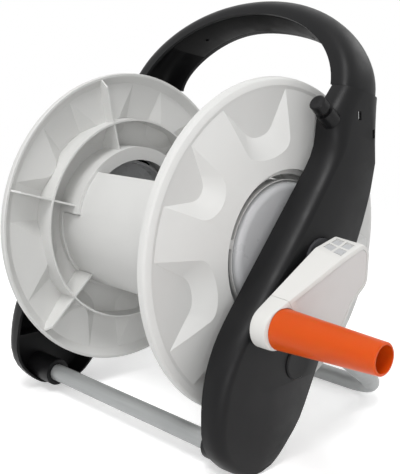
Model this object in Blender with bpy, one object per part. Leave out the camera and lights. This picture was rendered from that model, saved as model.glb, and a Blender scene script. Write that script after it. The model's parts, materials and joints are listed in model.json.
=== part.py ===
"""Portable garden hose reel on a carrying frame, modelled piece by piece.

Lengths are in metres and angles in degrees. X runs along the axle towards the crank,
Y towards the back and Z up. Everything is drawn about the axle line, and the whole
object is set down on the floor at the end. An angle about the axle is counted from
the front (-Y) upwards. The left side mirrors the right one.
"""

import math

import bmesh
import bpy
from mathutils import Matrix, Vector

# Fits
CLEARANCE = 0.0003
RUNNING_CLEARANCE = 0.0004
OVERRUN = 0.010
MERGE = 1e-6

# Facets
DRUM_STEPS = 40
RING_STEPS = 24
HUB_STEPS = 24
GRIP_STEPS = 20
TUBE_STEPS = 12
PIN_STEPS = 16
SMALL_STEPS = 6
CORNER_STEP = 22.0
SHARP_ANGLE = 32.0

# Frame
RIM_RADIUS = 0.160
FLOOR_GAP = 0.025
AXLE_HEIGHT = RIM_RADIUS + FLOOR_GAP
FOOT_PROUD = 0.0015
FRAME_INNER_X = 0.136
FRAME_DEPTH = 0.030
FRAME_OUTER_X = FRAME_INNER_X + FRAME_DEPTH
FRAME_TOP_TUCK = 0.007
FRAME_TOE_TUCK = 0.003
FRAME_WALL = 0.003
FRAME_SOLE = 0.006
RIB_THICKNESS = 0.002
FRAME_RIBS = (-0.120, -0.030, 0.060)
FRAME_FRONT = ((0.0730, 0.1770, 0.0), (0.0270, 0.1270, 0.040), (0.0270, 0.0940, 0.050),
               (-0.1180, -0.0780, 0.110))
FRAME_TOE = ((-0.1180, 0.0315, 0.045), (-0.0865, 0.0, 0.040), (-0.0500, 0.0, 0.046))
FRAME_REAR = ((-0.0150, -0.1490, 0.060), (0.0815, 0.0500, 0.250), (0.1094, 0.1770, 0.0))
SEAM_FRONT = (0.050, 0.152)
SEAM_REAR = (0.100, 0.137)
SHOULDER_SHARES = (0.45, 0.80, 0.965)
SHOULDER_STEPS_IN = (0.000, 0.005, 0.016)
SHOULDER_DEPTH = 0.050
SHOULDER_SCALES = (0.45, 0.20)
SHOULDER_Z = (0.080, 0.137)
TOE_TAPER = 0.0085
TOE_TAPER_Z = (-0.130, -0.040)
TOE_REACH_SHARE = 0.96
STATION_STEP = 0.027
TOE_STATIONS = (0.0, 0.003, 0.009, 0.018, 0.031, 0.048)

# Carry handle
HANDLE_TUCK = 0.008
HANDLE_OUTER = (FRAME_OUTER_X - HANDLE_TUCK, 0.0975)
HANDLE_FRONT_EDGE = (FRAME_INNER_X, 0.0847)
HANDLE_EDGE_TUCK = 0.015
HANDLE_REAR_EDGE = (FRAME_INNER_X - HANDLE_EDGE_TUCK, 0.0645)
HANDLE_SPRING_Z = 0.137
HANDLE_FRONT_Y = (0.0425, 0.092)
HANDLE_REAR_Y = (0.1005, 0.119)
HANDLE_LEAN = (0.009, -0.005)
HAUNCH_POWER = 1.5
HANDLE_WALL = 0.003
HANDLE_STATIONS = 20
COVER_END_ANGLE = 37.0
COVER_THICKNESS = 0.003
COVER_GAP = 0.0011
COVER_CROWN = 0.10
COVER_SCREW_ANGLE = 53.0
COVER_SCREW_RADIUS = 0.0021
COVER_POST_RADIUS = 0.0045
COVER_POST_SINK = 0.0015
COVER_SCREW_SHARE = 0.6
COVER_SHARES = (0.0, 0.12, 0.5, 0.88, 1.0)
COVER_BACK_CROWN = 0.8
HANDLE_OPEN_REACH = 0.35
HANDLE_DIP = 12.0
HANDLE_OVERRUN_ANGLE = 2.0

# Tubes
TUBE_RADIUS = 0.009
TUBE_WALL = 0.0012
FRONT_TUBE_ANGLE = -61.1
FRONT_TUBE_GAP = 0.0172
FRONT_SOCKET_PROUD = 0.015
FRONT_SOCKET_X = FRAME_INNER_X - FRONT_SOCKET_PROUD
FRONT_SOCKET_DEPTH = 0.020
FRONT_SOCKET_END_X = FRAME_INNER_X + FRONT_SOCKET_DEPTH
SOCKET_WALL = 0.005
STAND_BAR_Y = 0.150
STAND_LEG_OFFSET = 0.008
STAND_LEG_X = FRAME_INNER_X + STAND_LEG_OFFSET
STAND_BEND_RADIUS = 0.048
STAND_ENTRY_YZ = (0.020, -0.077)
STAND_INSERTION = 0.040
STAND_COLLAR = 0.006
BEND_STEPS = 4
BOSS_CAP_YZ = (-0.026, -0.091)
BOSS_CAP_RADIUS = 0.016
BOSS_CAP_HEIGHT = 0.0035
BOSS_CAP_RECESS = 0.0016
BOSS_CAP_CHAMFER = 0.0012
BOSS_CAP_CROWN = 0.0040
PAD_LENGTH = 0.014
PAD_DEPTH = 0.013
PAD_RECESS = 0.0030
PAD_Y = -0.069
SLOT_SIZE = (0.0045, 0.0080)
SLOT_DEPTH = 0.010
SLOTS_YZ = ((0.060, 0.124), (0.0845, 0.106))

# Hose parking peg
PEG_OFFSET = 0.014
PEG_BASE = (FRAME_INNER_X + PEG_OFFSET, 0.033, 0.120)
PEG_TILT = 38.5
PEG_RADIUS = 0.0085
PEG_NECK_RADIUS = 0.0062
PEG_HEAD_RADIUS = 0.0078
PEG_BASE_LENGTH = 0.015
PEG_NECK_LENGTH = 0.004
PEG_LENGTH = 0.029
PEG_DIMPLE_RADIUS = 0.004
PEG_EDGE = 0.001

# Drum
DRUM_RADIUS = 0.078
DRUM_WALL = 0.0024
DRUM_WINDOW_ANGLE = 48.5
DRUM_SPLIT_ANGLE = -90.0
DRUM_WINDOW_OVERLAP = 3.0

# Flange
FLANGE_WALL = 0.003
FLANGE_GAP = 0.009
OPENING_STEP = 0.001
OPENING_RADIUS = DRUM_RADIUS - OPENING_STEP
OPENING_X = FRAME_INNER_X - FLANGE_GAP
DISH_DEPTH = 0.018
DISH_BULGE = 0.0012
RIM_X = OPENING_X - DISH_DEPTH
RIM_THICKNESS = 0.005
BAND_WIDTH = 0.011
BAND_RISE = 0.0033
BAND_RADIUS = RIM_RADIUS - BAND_WIDTH
BAND_X = RIM_X + BAND_RISE
WEB_DEPTH = 0.006
WEB_WIDTH = 0.011
WEB_X = OPENING_X - WEB_DEPTH
WEB_HOLE_RADIUS = OPENING_RADIUS - WEB_WIDTH
COLLAR_LENGTH = 0.032
COLLAR_END_X = WEB_X - COLLAR_LENGTH
COLLAR_WALL = 0.003
COLLAR_LIP = 0.0025
COLLAR_LIP_RADIUS = WEB_HOLE_RADIUS + OPENING_STEP
COLLAR_WING_PROUD = 0.003
COLLAR_WING = (11.0, 169.0)
RIB_ROOT_SHARE = 0.5
RING_RIB_SHARE = 0.542
RING_RIB_DEPTH = 0.014
RING_RIB_X = RIM_X - RING_RIB_DEPTH
FLANGE_RIB = 0.002
FLANGE_RIB_DEPTH = 0.013
FLANGE_RIB_X = RIM_X - FLANGE_RIB_DEPTH
FLANGE_RIB_COUNT = 6
FLANGE_RIB_START = 17.8

# Pockets. A share of the dish's width runs from the rim band, 0, to the hub's mouth, 1.
POCKET_COUNT = 8
POCKET_START = 33.5
POCKET_SHARES = (-1.0, -0.6, 0.0, 0.6, 1.0)
POCKET_OVERLAP = 0.004
SMALL_POCKET = {"half": 11.0, "narrowing": 5.0, "mouth_shares": (0.514, 0.736),
                "floor_shares": (0.347, 0.486)}
LARGE_POCKET = {"half": 16.0, "narrowing": 7.0, "mouth_shares": (0.611, 0.819),
                "floor_shares": (0.417, 0.556)}

# Hub, shaft and bushes
SHAFT_RADIUS = 0.011
HUB_GAP = 0.001
HUB_NOSE = 0.005
HUB_NOSE_RADIUS = 0.018
HUB_NOSE_FOOT = 0.006
HUB_EDGE = 0.0055
HUB_EDGE_WIDTH = 0.0075
HUB_SKIRT = 0.023
HUB_WALL = 0.0025
HUB_TUBE_LENGTH = 0.031
HUB_TUBE_RADIUS = 0.0165
SHAFT_INNER_X = OPENING_X - HUB_TUBE_LENGTH + CLEARANCE
BUSH_WALL = 0.0036
BUSH_PROUD = 0.001
BUSH_FLANGE = 0.0032
BUSH_FLANGE_RADIUS = 0.019
BUSH_SEAT_DEPTH = 0.001
AXLE_BOSS_WALL = 0.0055
AXLE_BOSS_SINK = 0.0015
AXLE_BOSS_PROUD = 0.0015
AXLE_BOSS_X = FRAME_INNER_X - AXLE_BOSS_PROUD
BUSH_INNER_X = AXLE_BOSS_X - BUSH_PROUD

# Crank
ARM_GAP = 0.006
ARM_BACK_X = FRAME_OUTER_X + ARM_GAP
ARM_HUB_DEPTH = 0.027
ARM_GRIP_DEPTH = 0.019
ARM_END_RADIUS = 0.0185
GRIP_YZ = (-0.077, -0.043)
ARM_CORNERS = ((-0.0156, 0.0134, 0.012), (0.0156, 0.0202, 0.010), (0.0276, 0.0092, 0.012),
               (0.0282, -0.0220, 0.014), (0.0100, -0.0375, 0.006))
ARM_HEEL = (-0.002, 0.014)
ARM_DRAFT_SHARE = 0.40
ARM_DRAFT_RUN_SHARE = 0.27
ARM_TOE_REACH = 0.0752
ARM_EDGE = 0.0030
ARM_BACK_EDGE = 0.0015
EDGE_SHARE = 0.3
ARM_SEAM = 0.016
ARM_BORDER = 0.0045
FACE_MARGIN = 0.006
FACE_RECESS = 0.0020
FACE_THICKNESS = 0.0014
CRANK_SPIGOT_RADIUS = 0.008
CRANK_SPIGOT_LENGTH = 0.0165
CRANK_SCREW_RADIUS = 0.0025
CRANK_SCREW_HEAD_RADIUS = 0.0055
CRANK_SCREW_HEAD = 0.0035
CRANK_SCREW_WEB = 0.003
CRANK_SCREW_BITE = 0.014
VENT_SIZES = (0.0085, 0.0088)
VENT_PITCHES = (0.0108, 0.0112)
VENT_DEPTH = 0.0016
VENT_SHARES = (0.52, 0.50)
CRANK_SCREW_TAPER = 0.75

# Grip
GRIP_LENGTH = 0.0995
GRIP_STEP = 0.0007
GRIP_BASE_RADIUS = ARM_END_RADIUS - GRIP_STEP
GRIP_END_RADIUS = 0.0133
GRIP_WALL = 0.0021
GRIP_FLOOR = 0.026
GRIP_SEAT_DEPTH = 0.0010
GRIP_SEAT_MARGIN = 0.0006
GRIP_EDGE = 0.0008
PIN_RADIUS = 0.005
PIN_HEAD_RADIUS = 0.0085
PIN_HEAD = 0.0032
PIN_HEAD_TAPER = 0.8
PIN_DEPTH = 0.0135

# Water inlet
SPINDLE_BORE_RADIUS = 0.007
SPINDLE_REACH = 0.024
SPINDLE_END_X = -(FRAME_OUTER_X + SPINDLE_REACH)
SPINDLE_INNER_X = -0.020
SPINDLE_PLUG = 0.008
ELBOW_GAP = 0.0062
ELBOW_INNER_X = -(FRAME_OUTER_X + ELBOW_GAP)
ELBOW_LENGTH = 0.0318
ELBOW_OUTER_X = ELBOW_INNER_X - ELBOW_LENGTH
ELBOW_RADIUS = 0.017
ELBOW_EDGE = 0.002
ELBOW_PASSAGE_RADIUS = 0.0036
ELBOW_LEG_RADIUS = 0.0105
ELBOW_LEG_LENGTH = 0.042
ELBOW_FLOOR = 0.004
SEAL_THICKNESS = 0.002
CONNECTOR_RADIUS = 0.0145
CONNECTOR_SKIRT = 0.014
CONNECTOR_BORE_RADIUS = 0.005
CONNECTOR_TIP_RADIUS = 0.0075
CONNECTOR_LENGTH = 0.040
CONNECTOR_SHOULDER = 0.004
CONNECTOR_GROOVE = 0.0016
CONNECTOR_RIDGES = (0.015, 0.012, 0.009, 0.002)
OUTLET_X = -0.040
OUTLET_RADIUS = 0.008
OUTLET_NECK = 0.0015
OUTLET_BARB = 0.006
OUTLET_BARB_SLOPE = 0.9
OUTLET_BORE_RADIUS = 0.005
OUTLET_SEAT = 0.0085
OUTLET_TOP = 0.054
OUTLET_NUT_RADIUS = 0.0135
OUTLET_NUT_BASE = 0.022
OUTLET_NUT_LENGTH = 0.012

BLACK = ((0.020, 0.020, 0.022), 0.42, 0.0)
SOFT_BLACK = ((0.012, 0.012, 0.013), 0.70, 0.0)
RUBBER = ((0.015, 0.015, 0.015), 0.85, 0.0)
PALE_GREY = ((0.67, 0.67, 0.66), 0.38, 0.0)
SILVER = ((0.38, 0.385, 0.39), 0.35, 0.3)
WHITE = ((0.73, 0.72, 0.69), 0.36, 0.0)
PANEL_GREY = ((0.62, 0.60, 0.59), 0.42, 0.0)
ORANGE = ((0.69, 0.125, 0.012), 0.38, 0.0)
TUBE_GREY = ((0.36, 0.37, 0.37), 0.40, 0.6)
STEEL = ((0.55, 0.55, 0.56), 0.28, 1.0)
DARK_PLASTIC = ((0.05, 0.05, 0.055), 0.45, 0.0)


def material(name, look):
    colour, roughness, metallic = look
    made = bpy.data.materials.new(name)
    made.use_nodes = True
    shader = made.node_tree.nodes["Principled BSDF"]
    shader.inputs["Base Color"].default_value = (*colour, 1.0)
    shader.inputs["Roughness"].default_value = roughness
    shader.inputs["Metallic"].default_value = metallic
    made.diffuse_color = (*colour, 1.0)
    return made


def empty(name, parent=None, location=(0.0, 0.0, 0.0)):
    made = bpy.data.objects.new(name, None)
    bpy.context.scene.collection.objects.link(made)
    made.parent = parent
    made.location = location
    made.empty_display_size = 0.03
    return made


def link(name, bm, parent, side=1):
    """An object from a bmesh, mirrored in X when side is -1."""
    if side < 0:
        bmesh.ops.scale(bm, vec=(-1.0, 1.0, 1.0), verts=bm.verts)
    bmesh.ops.recalc_face_normals(bm, faces=bm.faces)
    mesh = bpy.data.meshes.new(name)
    bm.to_mesh(mesh)
    bm.free()
    made = bpy.data.objects.new(name, mesh)
    bpy.context.scene.collection.objects.link(made)
    made.parent = parent
    return made


def piece(name, bm, parent, look, side=1):
    made = link(name, bm, parent, side)
    made.data.shade_smooth()
    made.data.set_sharp_from_angle(angle=math.radians(SHARP_ANGLE))
    made.data.materials.append(material(name + "_finish", look))
    return made


def boolean(target, name, bm, operation, side=1):
    """Adds or cuts the bmesh, whose bodies don't touch each other, as a live modifier."""
    tool = link(f"{target.name}_{name}", bm, target.parent, side)
    tool.hide_render = True
    tool.display_type = "WIRE"
    modifier = target.modifiers.new(name, "BOOLEAN")
    modifier.operation = operation
    modifier.solver = "EXACT"
    modifier.object = tool
    return tool


def polar(x, radius, angle):
    turn = math.radians(angle)
    return Vector((x, -radius * math.cos(turn), radius * math.sin(turn)))


def add_loft(bm, loops, ring=False):
    """Skins loops of the same number of points. A ring closes on its first loop."""
    rows = [[bm.verts.new(point) for point in loop] for loop in loops]
    pairs = list(zip(rows, rows[1:]))
    if ring:
        pairs.append((rows[-1], rows[0]))
    count = len(rows[0])
    for first, second in pairs:
        for i in range(count):
            j = (i + 1) % count
            bm.faces.new((first[i], first[j], second[j], second[i]))
    if not ring:
        bm.faces.new(rows[0])
        bm.faces.new(rows[-1])


def lofted(loops, ring=False):
    bm = bmesh.new()
    add_loft(bm, loops, ring)
    return bm


def add_turned(bm, profile, steps, matrix=None):
    """Spins a closed profile of (x, radius) points about the X axis."""
    fresh = bmesh.new()
    verts = [fresh.verts.new((x, -radius, 0.0)) for x, radius in profile]
    edges = []
    for i, (x, radius) in enumerate(profile):
        j = (i + 1) % len(profile)
        if radius or profile[j][1]:
            edges.append(fresh.edges.new((verts[i], verts[j])))
    bmesh.ops.spin(fresh, geom=verts + edges, cent=(0, 0, 0), axis=(-1, 0, 0),
                   angle=math.tau, steps=steps, use_merge=True)
    bmesh.ops.remove_doubles(fresh, verts=fresh.verts, dist=MERGE)
    bmesh.ops.recalc_face_normals(fresh, faces=fresh.faces)
    if matrix:
        bmesh.ops.transform(fresh, matrix=matrix, verts=fresh.verts)
    append(bm, fresh)


def append(bm, fresh):
    """Moves the geometry of one bmesh into another."""
    scratch = bpy.data.meshes.new("scratch")
    fresh.to_mesh(scratch)
    fresh.free()
    bm.from_mesh(scratch)
    bpy.data.meshes.remove(scratch)


def turned(profile, steps, matrix=None):
    bm = bmesh.new()
    add_turned(bm, profile, steps, matrix)
    return bm


def rod_profile(start, end, radius):
    return [(start, 0.0), (start, radius), (end, radius), (end, 0.0)]


def along(origin, direction):
    """Matrix that takes +X to the direction and the origin to the given point."""
    turn = Vector((1.0, 0.0, 0.0)).rotation_difference(Vector(direction))
    return Matrix.Translation(Vector(origin)) @ turn.to_matrix().to_4x4()


def add_box(bm, centre, size, turn=None):
    matrix = Matrix.Translation(Vector(centre)) @ (turn or Matrix.Identity(4))
    matrix = matrix @ Matrix.Diagonal((*size, 1.0))
    bmesh.ops.create_cube(bm, size=1.0, matrix=matrix)


def cut_off(bm, point, normal):
    """Removes what lies beyond the plane and closes the cut."""
    geom = list(bm.verts) + list(bm.edges) + list(bm.faces)
    result = bmesh.ops.bisect_plane(bm, geom=geom, plane_co=Vector(point),
                                    plane_no=Vector(normal), clear_outer=True)
    edges = [item for item in result["geom_cut"] if isinstance(item, bmesh.types.BMEdge)]
    bmesh.ops.edgeloop_fill(bm, edges=edges)


def rounded(corners):
    """Outline through (u, v, radius) corners, with each corner drawn as an arc."""
    outline = []
    count = len(corners)
    for i, (u, v, radius) in enumerate(corners):
        here = Vector((u, v))
        before = (Vector(corners[i - 1][:2]) - here).normalized()
        after = (Vector(corners[(i + 1) % count][:2]) - here).normalized()
        half = before.angle(after) / 2
        if radius == 0 or half > math.radians(89.5):
            outline.append(here)
            continue
        reach = radius / math.tan(half)
        centre = here + (before + after).normalized() * radius / math.sin(half)
        start = here + before * reach - centre
        sweep = math.pi - 2 * half
        turn = math.copysign(sweep, start.cross(here + after * reach - centre))
        steps = max(1, round(math.degrees(sweep) / CORNER_STEP))
        for k in range(steps + 1):
            spun = start.copy()
            spun.rotate(Matrix.Rotation(turn * k / steps, 2))
            outline.append(centre + spun)
    return outline


def inset(outline, distance):
    """Moves a counter-clockwise outline inwards by the distance."""
    moved = []
    for i, here in enumerate(outline):
        before = (here - outline[i - 1]).normalized()
        after = (outline[(i + 1) % len(outline)] - here).normalized()
        left = Vector((-before.y, before.x)) + Vector((-after.y, after.x))
        moved.append(here + left * (2 * distance / left.length_squared))
    return moved


def blend(pair, share):
    return pair[0] + (pair[1] - pair[0]) * share


# Side frames


def floor_z():
    return -AXLE_HEIGHT


def toe_z():
    return floor_z() + FOOT_PROUD


def seam_normal():
    run = Vector(SEAM_REAR) - Vector(SEAM_FRONT)
    return Vector((0.0, -run.y, run.x)).normalized()


def frame_outline():
    """Side view of the frame as (y, z), drawn past the handle seam."""
    toe = [(y, toe_z() + height, radius) for y, height, radius in FRAME_TOE]
    return rounded([*FRAME_FRONT, *toe, *FRAME_REAR])


def frame_span(outline, z):
    """Front and rear edge of the outline at a height."""
    found = []
    for i, (y, height) in enumerate(outline):
        last_y, last_z = outline[i - 1]
        if (last_z - z) * (height - z) <= 0 and last_z != height:
            found.append(last_y + (y - last_y) * (z - last_z) / (height - last_z))
    return min(found), max(found)


def frame_outer(z):
    if z > 0:
        return FRAME_OUTER_X - FRAME_TOP_TUCK * (z / SEAM_FRONT[1]) ** 2
    return FRAME_OUTER_X - FRAME_TOE_TUCK * (z / AXLE_HEIGHT) ** 2


def level(z, span):
    """How far a height has risen through a span of heights, from 0 to 1."""
    return min(max((z - span[0]) / (span[1] - span[0]), 0.0), 1.0)


def frame_section(outline, z, wall):
    """Level cut through the frame, with a round shoulder along each outer edge.

    Towards the toe the front wall gets shallower and comes further forward.
    """
    front, rear = frame_span(outline, min(max(z, toe_z() + MERGE), outline[0].y - MERGE))
    front += wall
    rear -= wall
    inner = FRAME_INNER_X - (OVERRUN if wall else 0.0)
    reach = frame_outer(z) - wall - FRAME_INNER_X
    most = min(1.0, (rear - front) / SHOULDER_DEPTH)
    rise = level(z, SHOULDER_Z)
    front_scale, rear_scale = (most * blend((scale, 1.0), rise) for scale in SHOULDER_SCALES)
    taper = TOE_TAPER * (1 - level(z, TOE_TAPER_Z))
    front -= taper * TOE_REACH_SHARE
    near = [(inner if wall else inner + taper, front)]
    far = [(inner, rear)]
    steps = zip(SHOULDER_SHARES, SHOULDER_STEPS_IN)
    for share, step in list(steps)[1 if wall else 0:]:
        near.append((FRAME_INNER_X + blend((taper, reach), share), front + step * front_scale))
        far.append((FRAME_INNER_X + share * reach, rear - step * rear_scale))
    crown = (FRAME_INNER_X + reach, (front + rear) / 2)
    return [Vector((x, y, z)) for x, y in near + [crown] + far[::-1]]


def frame_stations(low, high):
    toe = [toe_z() + height for height in TOE_STATIONS]
    count = math.ceil((high - toe[-1]) / STATION_STEP)
    even = [blend((toe[-1], high), (i + 1) / count) for i in range(count)]
    margin = STATION_STEP / 4
    inside = [z for z in toe + even if low + margin < z < high - margin]
    return [low] + inside + [high]


def frame_cavity(outline):
    """Hollows between the cross ribs, open towards the reel."""
    bm = bmesh.new()
    half_rib = RIB_THICKNESS / 2
    lows = [toe_z() + FRAME_SOLE] + [z + half_rib for z in FRAME_RIBS]
    highs = [z - half_rib for z in FRAME_RIBS] + [outline[0].y - half_rib]
    for low, high in zip(lows, highs):
        add_loft(bm, [frame_section(outline, z, FRAME_WALL) for z in frame_stations(low, high)])
    normal = seam_normal()
    below = Vector((0.0, *SEAM_FRONT)) - normal * FRAME_WALL
    cut_off(bm, below, normal)
    return bm


def stand_direction():
    """Direction of a stand leg, from its frame down to the bar on the floor."""
    entry = Vector((0.0, *STAND_ENTRY_YZ))
    bar = Vector((0.0, STAND_BAR_Y, floor_z() + TUBE_RADIUS))
    return (bar - entry).normalized()


def stand_end():
    entry = Vector((STAND_LEG_X, *STAND_ENTRY_YZ))
    return entry - stand_direction() * STAND_INSERTION


def front_tube_yz():
    radius = RIM_RADIUS + FRONT_TUBE_GAP + TUBE_RADIUS
    return polar(0.0, radius, FRONT_TUBE_ANGLE).yz


def bush_radius():
    return SHAFT_RADIUS + RUNNING_CLEARANCE + BUSH_WALL


def bush_seat_x():
    return FRAME_OUTER_X - BUSH_SEAT_DEPTH


def frame_bosses():
    bm = bmesh.new()
    boss = bush_radius() + CLEARANCE + AXLE_BOSS_WALL
    add_turned(bm, rod_profile(AXLE_BOSS_X, bush_seat_x() - AXLE_BOSS_SINK, boss), PIN_STEPS)
    socket = TUBE_RADIUS + CLEARANCE + SOCKET_WALL
    place = Matrix.Translation((0.0, *front_tube_yz()))
    end = FRONT_SOCKET_END_X + FRAME_WALL
    add_turned(bm, rod_profile(FRONT_SOCKET_X, end, socket), TUBE_STEPS, place)
    length = STAND_INSERTION + STAND_COLLAR + FRAME_WALL
    place = along(stand_end() - stand_direction() * FRAME_WALL, stand_direction())
    leg_socket = TUBE_RADIUS + CLEARANCE + FRAME_WALL
    add_turned(bm, rod_profile(0.0, length, leg_socket), TUBE_STEPS, place)
    return bm


def peg_axis():
    tilt = math.radians(PEG_TILT)
    return Vector((0.0, -math.cos(tilt), math.sin(tilt)))


def frame_bores(side):
    bm = bmesh.new()
    bore = bush_radius() + CLEARANCE
    seat = BUSH_FLANGE_RADIUS + CLEARANCE
    far = FRAME_OUTER_X + OVERRUN
    add_turned(bm, [(AXLE_BOSS_X - OVERRUN, 0.0), (AXLE_BOSS_X - OVERRUN, bore),
                    (bush_seat_x(), bore), (bush_seat_x(), seat), (far, seat), (far, 0.0)],
               PIN_STEPS)
    tube = TUBE_RADIUS + CLEARANCE
    place = Matrix.Translation((0.0, *front_tube_yz()))
    start = FRONT_SOCKET_X - OVERRUN
    add_turned(bm, rod_profile(start, FRONT_SOCKET_END_X, tube), PIN_STEPS, place)
    place = along(stand_end(), stand_direction())
    length = STAND_INSERTION + STAND_COLLAR + OVERRUN
    add_turned(bm, rod_profile(-CLEARANCE, length, tube), PIN_STEPS, place)
    place = Matrix.Translation((0.0, *BOSS_CAP_YZ))
    recess = boss_cap_x() - CLEARANCE
    add_turned(bm, rod_profile(recess, far, BOSS_CAP_RADIUS + CLEARANCE), PIN_STEPS, place)
    pad_x = (FRAME_INNER_X + frame_outer(floor_z())) / 2
    pad_size = (PAD_LENGTH + 2 * CLEARANCE, PAD_DEPTH + 2 * CLEARANCE, 2 * PAD_RECESS)
    add_box(bm, (pad_x, PAD_Y, toe_z()), pad_size)
    for y, z in SLOTS_YZ:
        add_box(bm, (frame_outer(z), y, z), (2 * SLOT_DEPTH, *SLOT_SIZE))
    if side > 0:
        place = along(PEG_BASE, peg_axis())
        hole = rod_profile(0.0, PEG_LENGTH, PEG_RADIUS + CLEARANCE)
        add_turned(bm, hole, TUBE_STEPS, place)
    return bm


def side_frame(name, parent, side):
    outline = frame_outline()
    stations = frame_stations(toe_z(), outline[0].y)
    bm = lofted([frame_section(outline, z, 0.0) for z in stations])
    cut_off(bm, (0.0, *SEAM_FRONT), seam_normal())
    frame = piece(name, bm, parent, BLACK, side)
    boolean(frame, "cavity", frame_cavity(outline), "DIFFERENCE", side)
    boolean(frame, "bosses", frame_bosses(), "UNION", side)
    boolean(frame, "bores", frame_bores(side), "DIFFERENCE", side)


def boss_cap_x():
    return frame_outer(BOSS_CAP_YZ[1]) - BOSS_CAP_RECESS


def boss_cap(name, parent, side):
    """Round cap over the screw that holds a stand leg."""
    base = boss_cap_x()
    top = base + BOSS_CAP_HEIGHT
    edge = top - BOSS_CAP_CHAMFER
    profile = [(base, 0.0), (base, BOSS_CAP_RADIUS), (edge, BOSS_CAP_RADIUS),
               (top, BOSS_CAP_RADIUS - BOSS_CAP_CHAMFER),
               (top, BOSS_CAP_RADIUS - BOSS_CAP_CROWN), (edge, 0.0)]
    place = Matrix.Translation((0.0, *BOSS_CAP_YZ))
    piece(name, turned(profile, PIN_STEPS, place), parent, BLACK, side)


def foot_pad(name, parent, side):
    top = toe_z() + PAD_RECESS - CLEARANCE
    height = top - floor_z()
    bm = bmesh.new()
    pad_x = (FRAME_INNER_X + frame_outer(floor_z())) / 2
    add_box(bm, (pad_x, PAD_Y, floor_z() + height / 2), (PAD_LENGTH, PAD_DEPTH, height))
    piece(name, bm, parent, RUBBER, side)


def parking_peg(name, parent):
    neck = PEG_BASE_LENGTH + PEG_NECK_LENGTH
    edge = PEG_EDGE
    profile = [(0.0, 0.0), (0.0, PEG_RADIUS), (PEG_BASE_LENGTH, PEG_RADIUS),
               (PEG_BASE_LENGTH, PEG_NECK_RADIUS), (neck, PEG_NECK_RADIUS),
               (neck, PEG_HEAD_RADIUS), (PEG_LENGTH - edge, PEG_HEAD_RADIUS),
               (PEG_LENGTH, PEG_HEAD_RADIUS - edge), (PEG_LENGTH, PEG_DIMPLE_RADIUS),
               (PEG_LENGTH - edge, 0.0)]
    place = along(PEG_BASE, peg_axis())
    piece(name, turned(profile, TUBE_STEPS, place), parent, BLACK)


# Carry handle


def arch(axes, angle):
    turn = math.radians(angle)
    return Vector((axes[0] * math.cos(turn), HANDLE_SPRING_Z + axes[1] * math.sin(turn)))


def handle_point(angle, across, up):
    """Point of the handle: across runs front to rear, up runs inner to outer face."""
    front = arch(HANDLE_FRONT_EDGE, angle)
    rear = arch(HANDLE_REAR_EDGE, angle)
    inner = front + (rear - front) * across
    place = inner + (arch(HANDLE_OUTER, angle) - inner) * up
    share = (place.y - HANDLE_SPRING_Z) / HANDLE_OUTER[1]
    front_y = blend(HANDLE_FRONT_Y, share)
    haunch = max(0.0, math.sin(math.radians(2 * min(angle, 180.0 - angle)))) ** HAUNCH_POWER
    rear_y = blend(HANDLE_REAR_Y, share) + blend(HANDLE_LEAN, up) * haunch
    return Vector((place.x, front_y + (rear_y - front_y) * across, place.y))


HANDLE_SECTION = (
    (0.0, 0.0), (0.0, 0.42), (0.05, 0.76), (0.24, 0.96), (0.50, 1.0), (0.76, 0.96),
    (0.95, 0.76), (1.0, 0.45), (1.0, 0.0),
)


def handle_depth(angle):
    return (handle_point(angle, 1.0, 0.5) - handle_point(angle, 0.0, 0.5)).length


def handle_height(angle, across):
    return (handle_point(angle, across, 1.0) - handle_point(angle, across, 0.0)).length


def handle_cavity(angle):
    """Section of the channel inside the handle, running out through the inner face."""
    side = HANDLE_WALL / handle_depth(angle)
    loop = []
    for across, up in HANDLE_SECTION:
        shifted = side + across * (1 - 2 * side)
        crown = 1 - HANDLE_WALL / handle_height(angle, across)
        lifted = up * crown if up else -HANDLE_OPEN_REACH
        loop.append(handle_point(angle, shifted, lifted))
    return loop


def handle_angles():
    span = 180.0 + 2 * HANDLE_DIP
    return [span * i / HANDLE_STATIONS - HANDLE_DIP for i in range(HANDLE_STATIONS + 1)]


def handle_shell(name, parent):
    """Channel-shaped arch from one side frame to the other, open on its inner face."""
    angles = handle_angles()
    outer = [[handle_point(a, across, up) for across, up in HANDLE_SECTION] for a in angles]
    bm = lofted(outer)
    normal = seam_normal()
    seat = Vector((0.0, *SEAM_FRONT)) + normal * CLEARANCE
    cut_ends(bm, seat, -normal)
    shell = piece(name, bm, parent, BLACK)
    past = 2 * HANDLE_DIP + HANDLE_OVERRUN_ANGLE
    wider = [-past] + angles + [180.0 + past]
    boolean(shell, "channel", lofted([handle_cavity(a) for a in wider]), "DIFFERENCE")
    posts = bmesh.new()
    holes = bmesh.new()
    for angle in (COVER_SCREW_ANGLE, 180.0 - COVER_SCREW_ANGLE):
        foot, direction, length = cover_screw(angle)
        start = COVER_THICKNESS + 2 * CLEARANCE
        place = along(foot, direction)
        post = rod_profile(start, length - COVER_POST_SINK, COVER_POST_RADIUS)
        add_turned(posts, post, SMALL_STEPS, place)
        hole = rod_profile(0.0, length * COVER_SCREW_SHARE, COVER_SCREW_RADIUS)
        add_turned(holes, hole, SMALL_STEPS, place)
    boolean(shell, "posts", posts, "UNION")
    boolean(shell, "post_holes", holes, "DIFFERENCE")


def cut_ends(bm, point, normal):
    """Cuts both feet of the arch with one plane and closes each."""
    geom = list(bm.verts) + list(bm.edges) + list(bm.faces)
    result = bmesh.ops.bisect_plane(bm, geom=geom, plane_co=Vector(point),
                                    plane_no=Vector(normal), clear_outer=True)
    edges = [item for item in result["geom_cut"] if isinstance(item, bmesh.types.BMEdge)]
    for sign in (-1, 1):
        foot = [edge for edge in edges if edge.verts[0].co.x * sign > 0]
        bmesh.ops.edgeloop_fill(bm, edges=foot)


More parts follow.
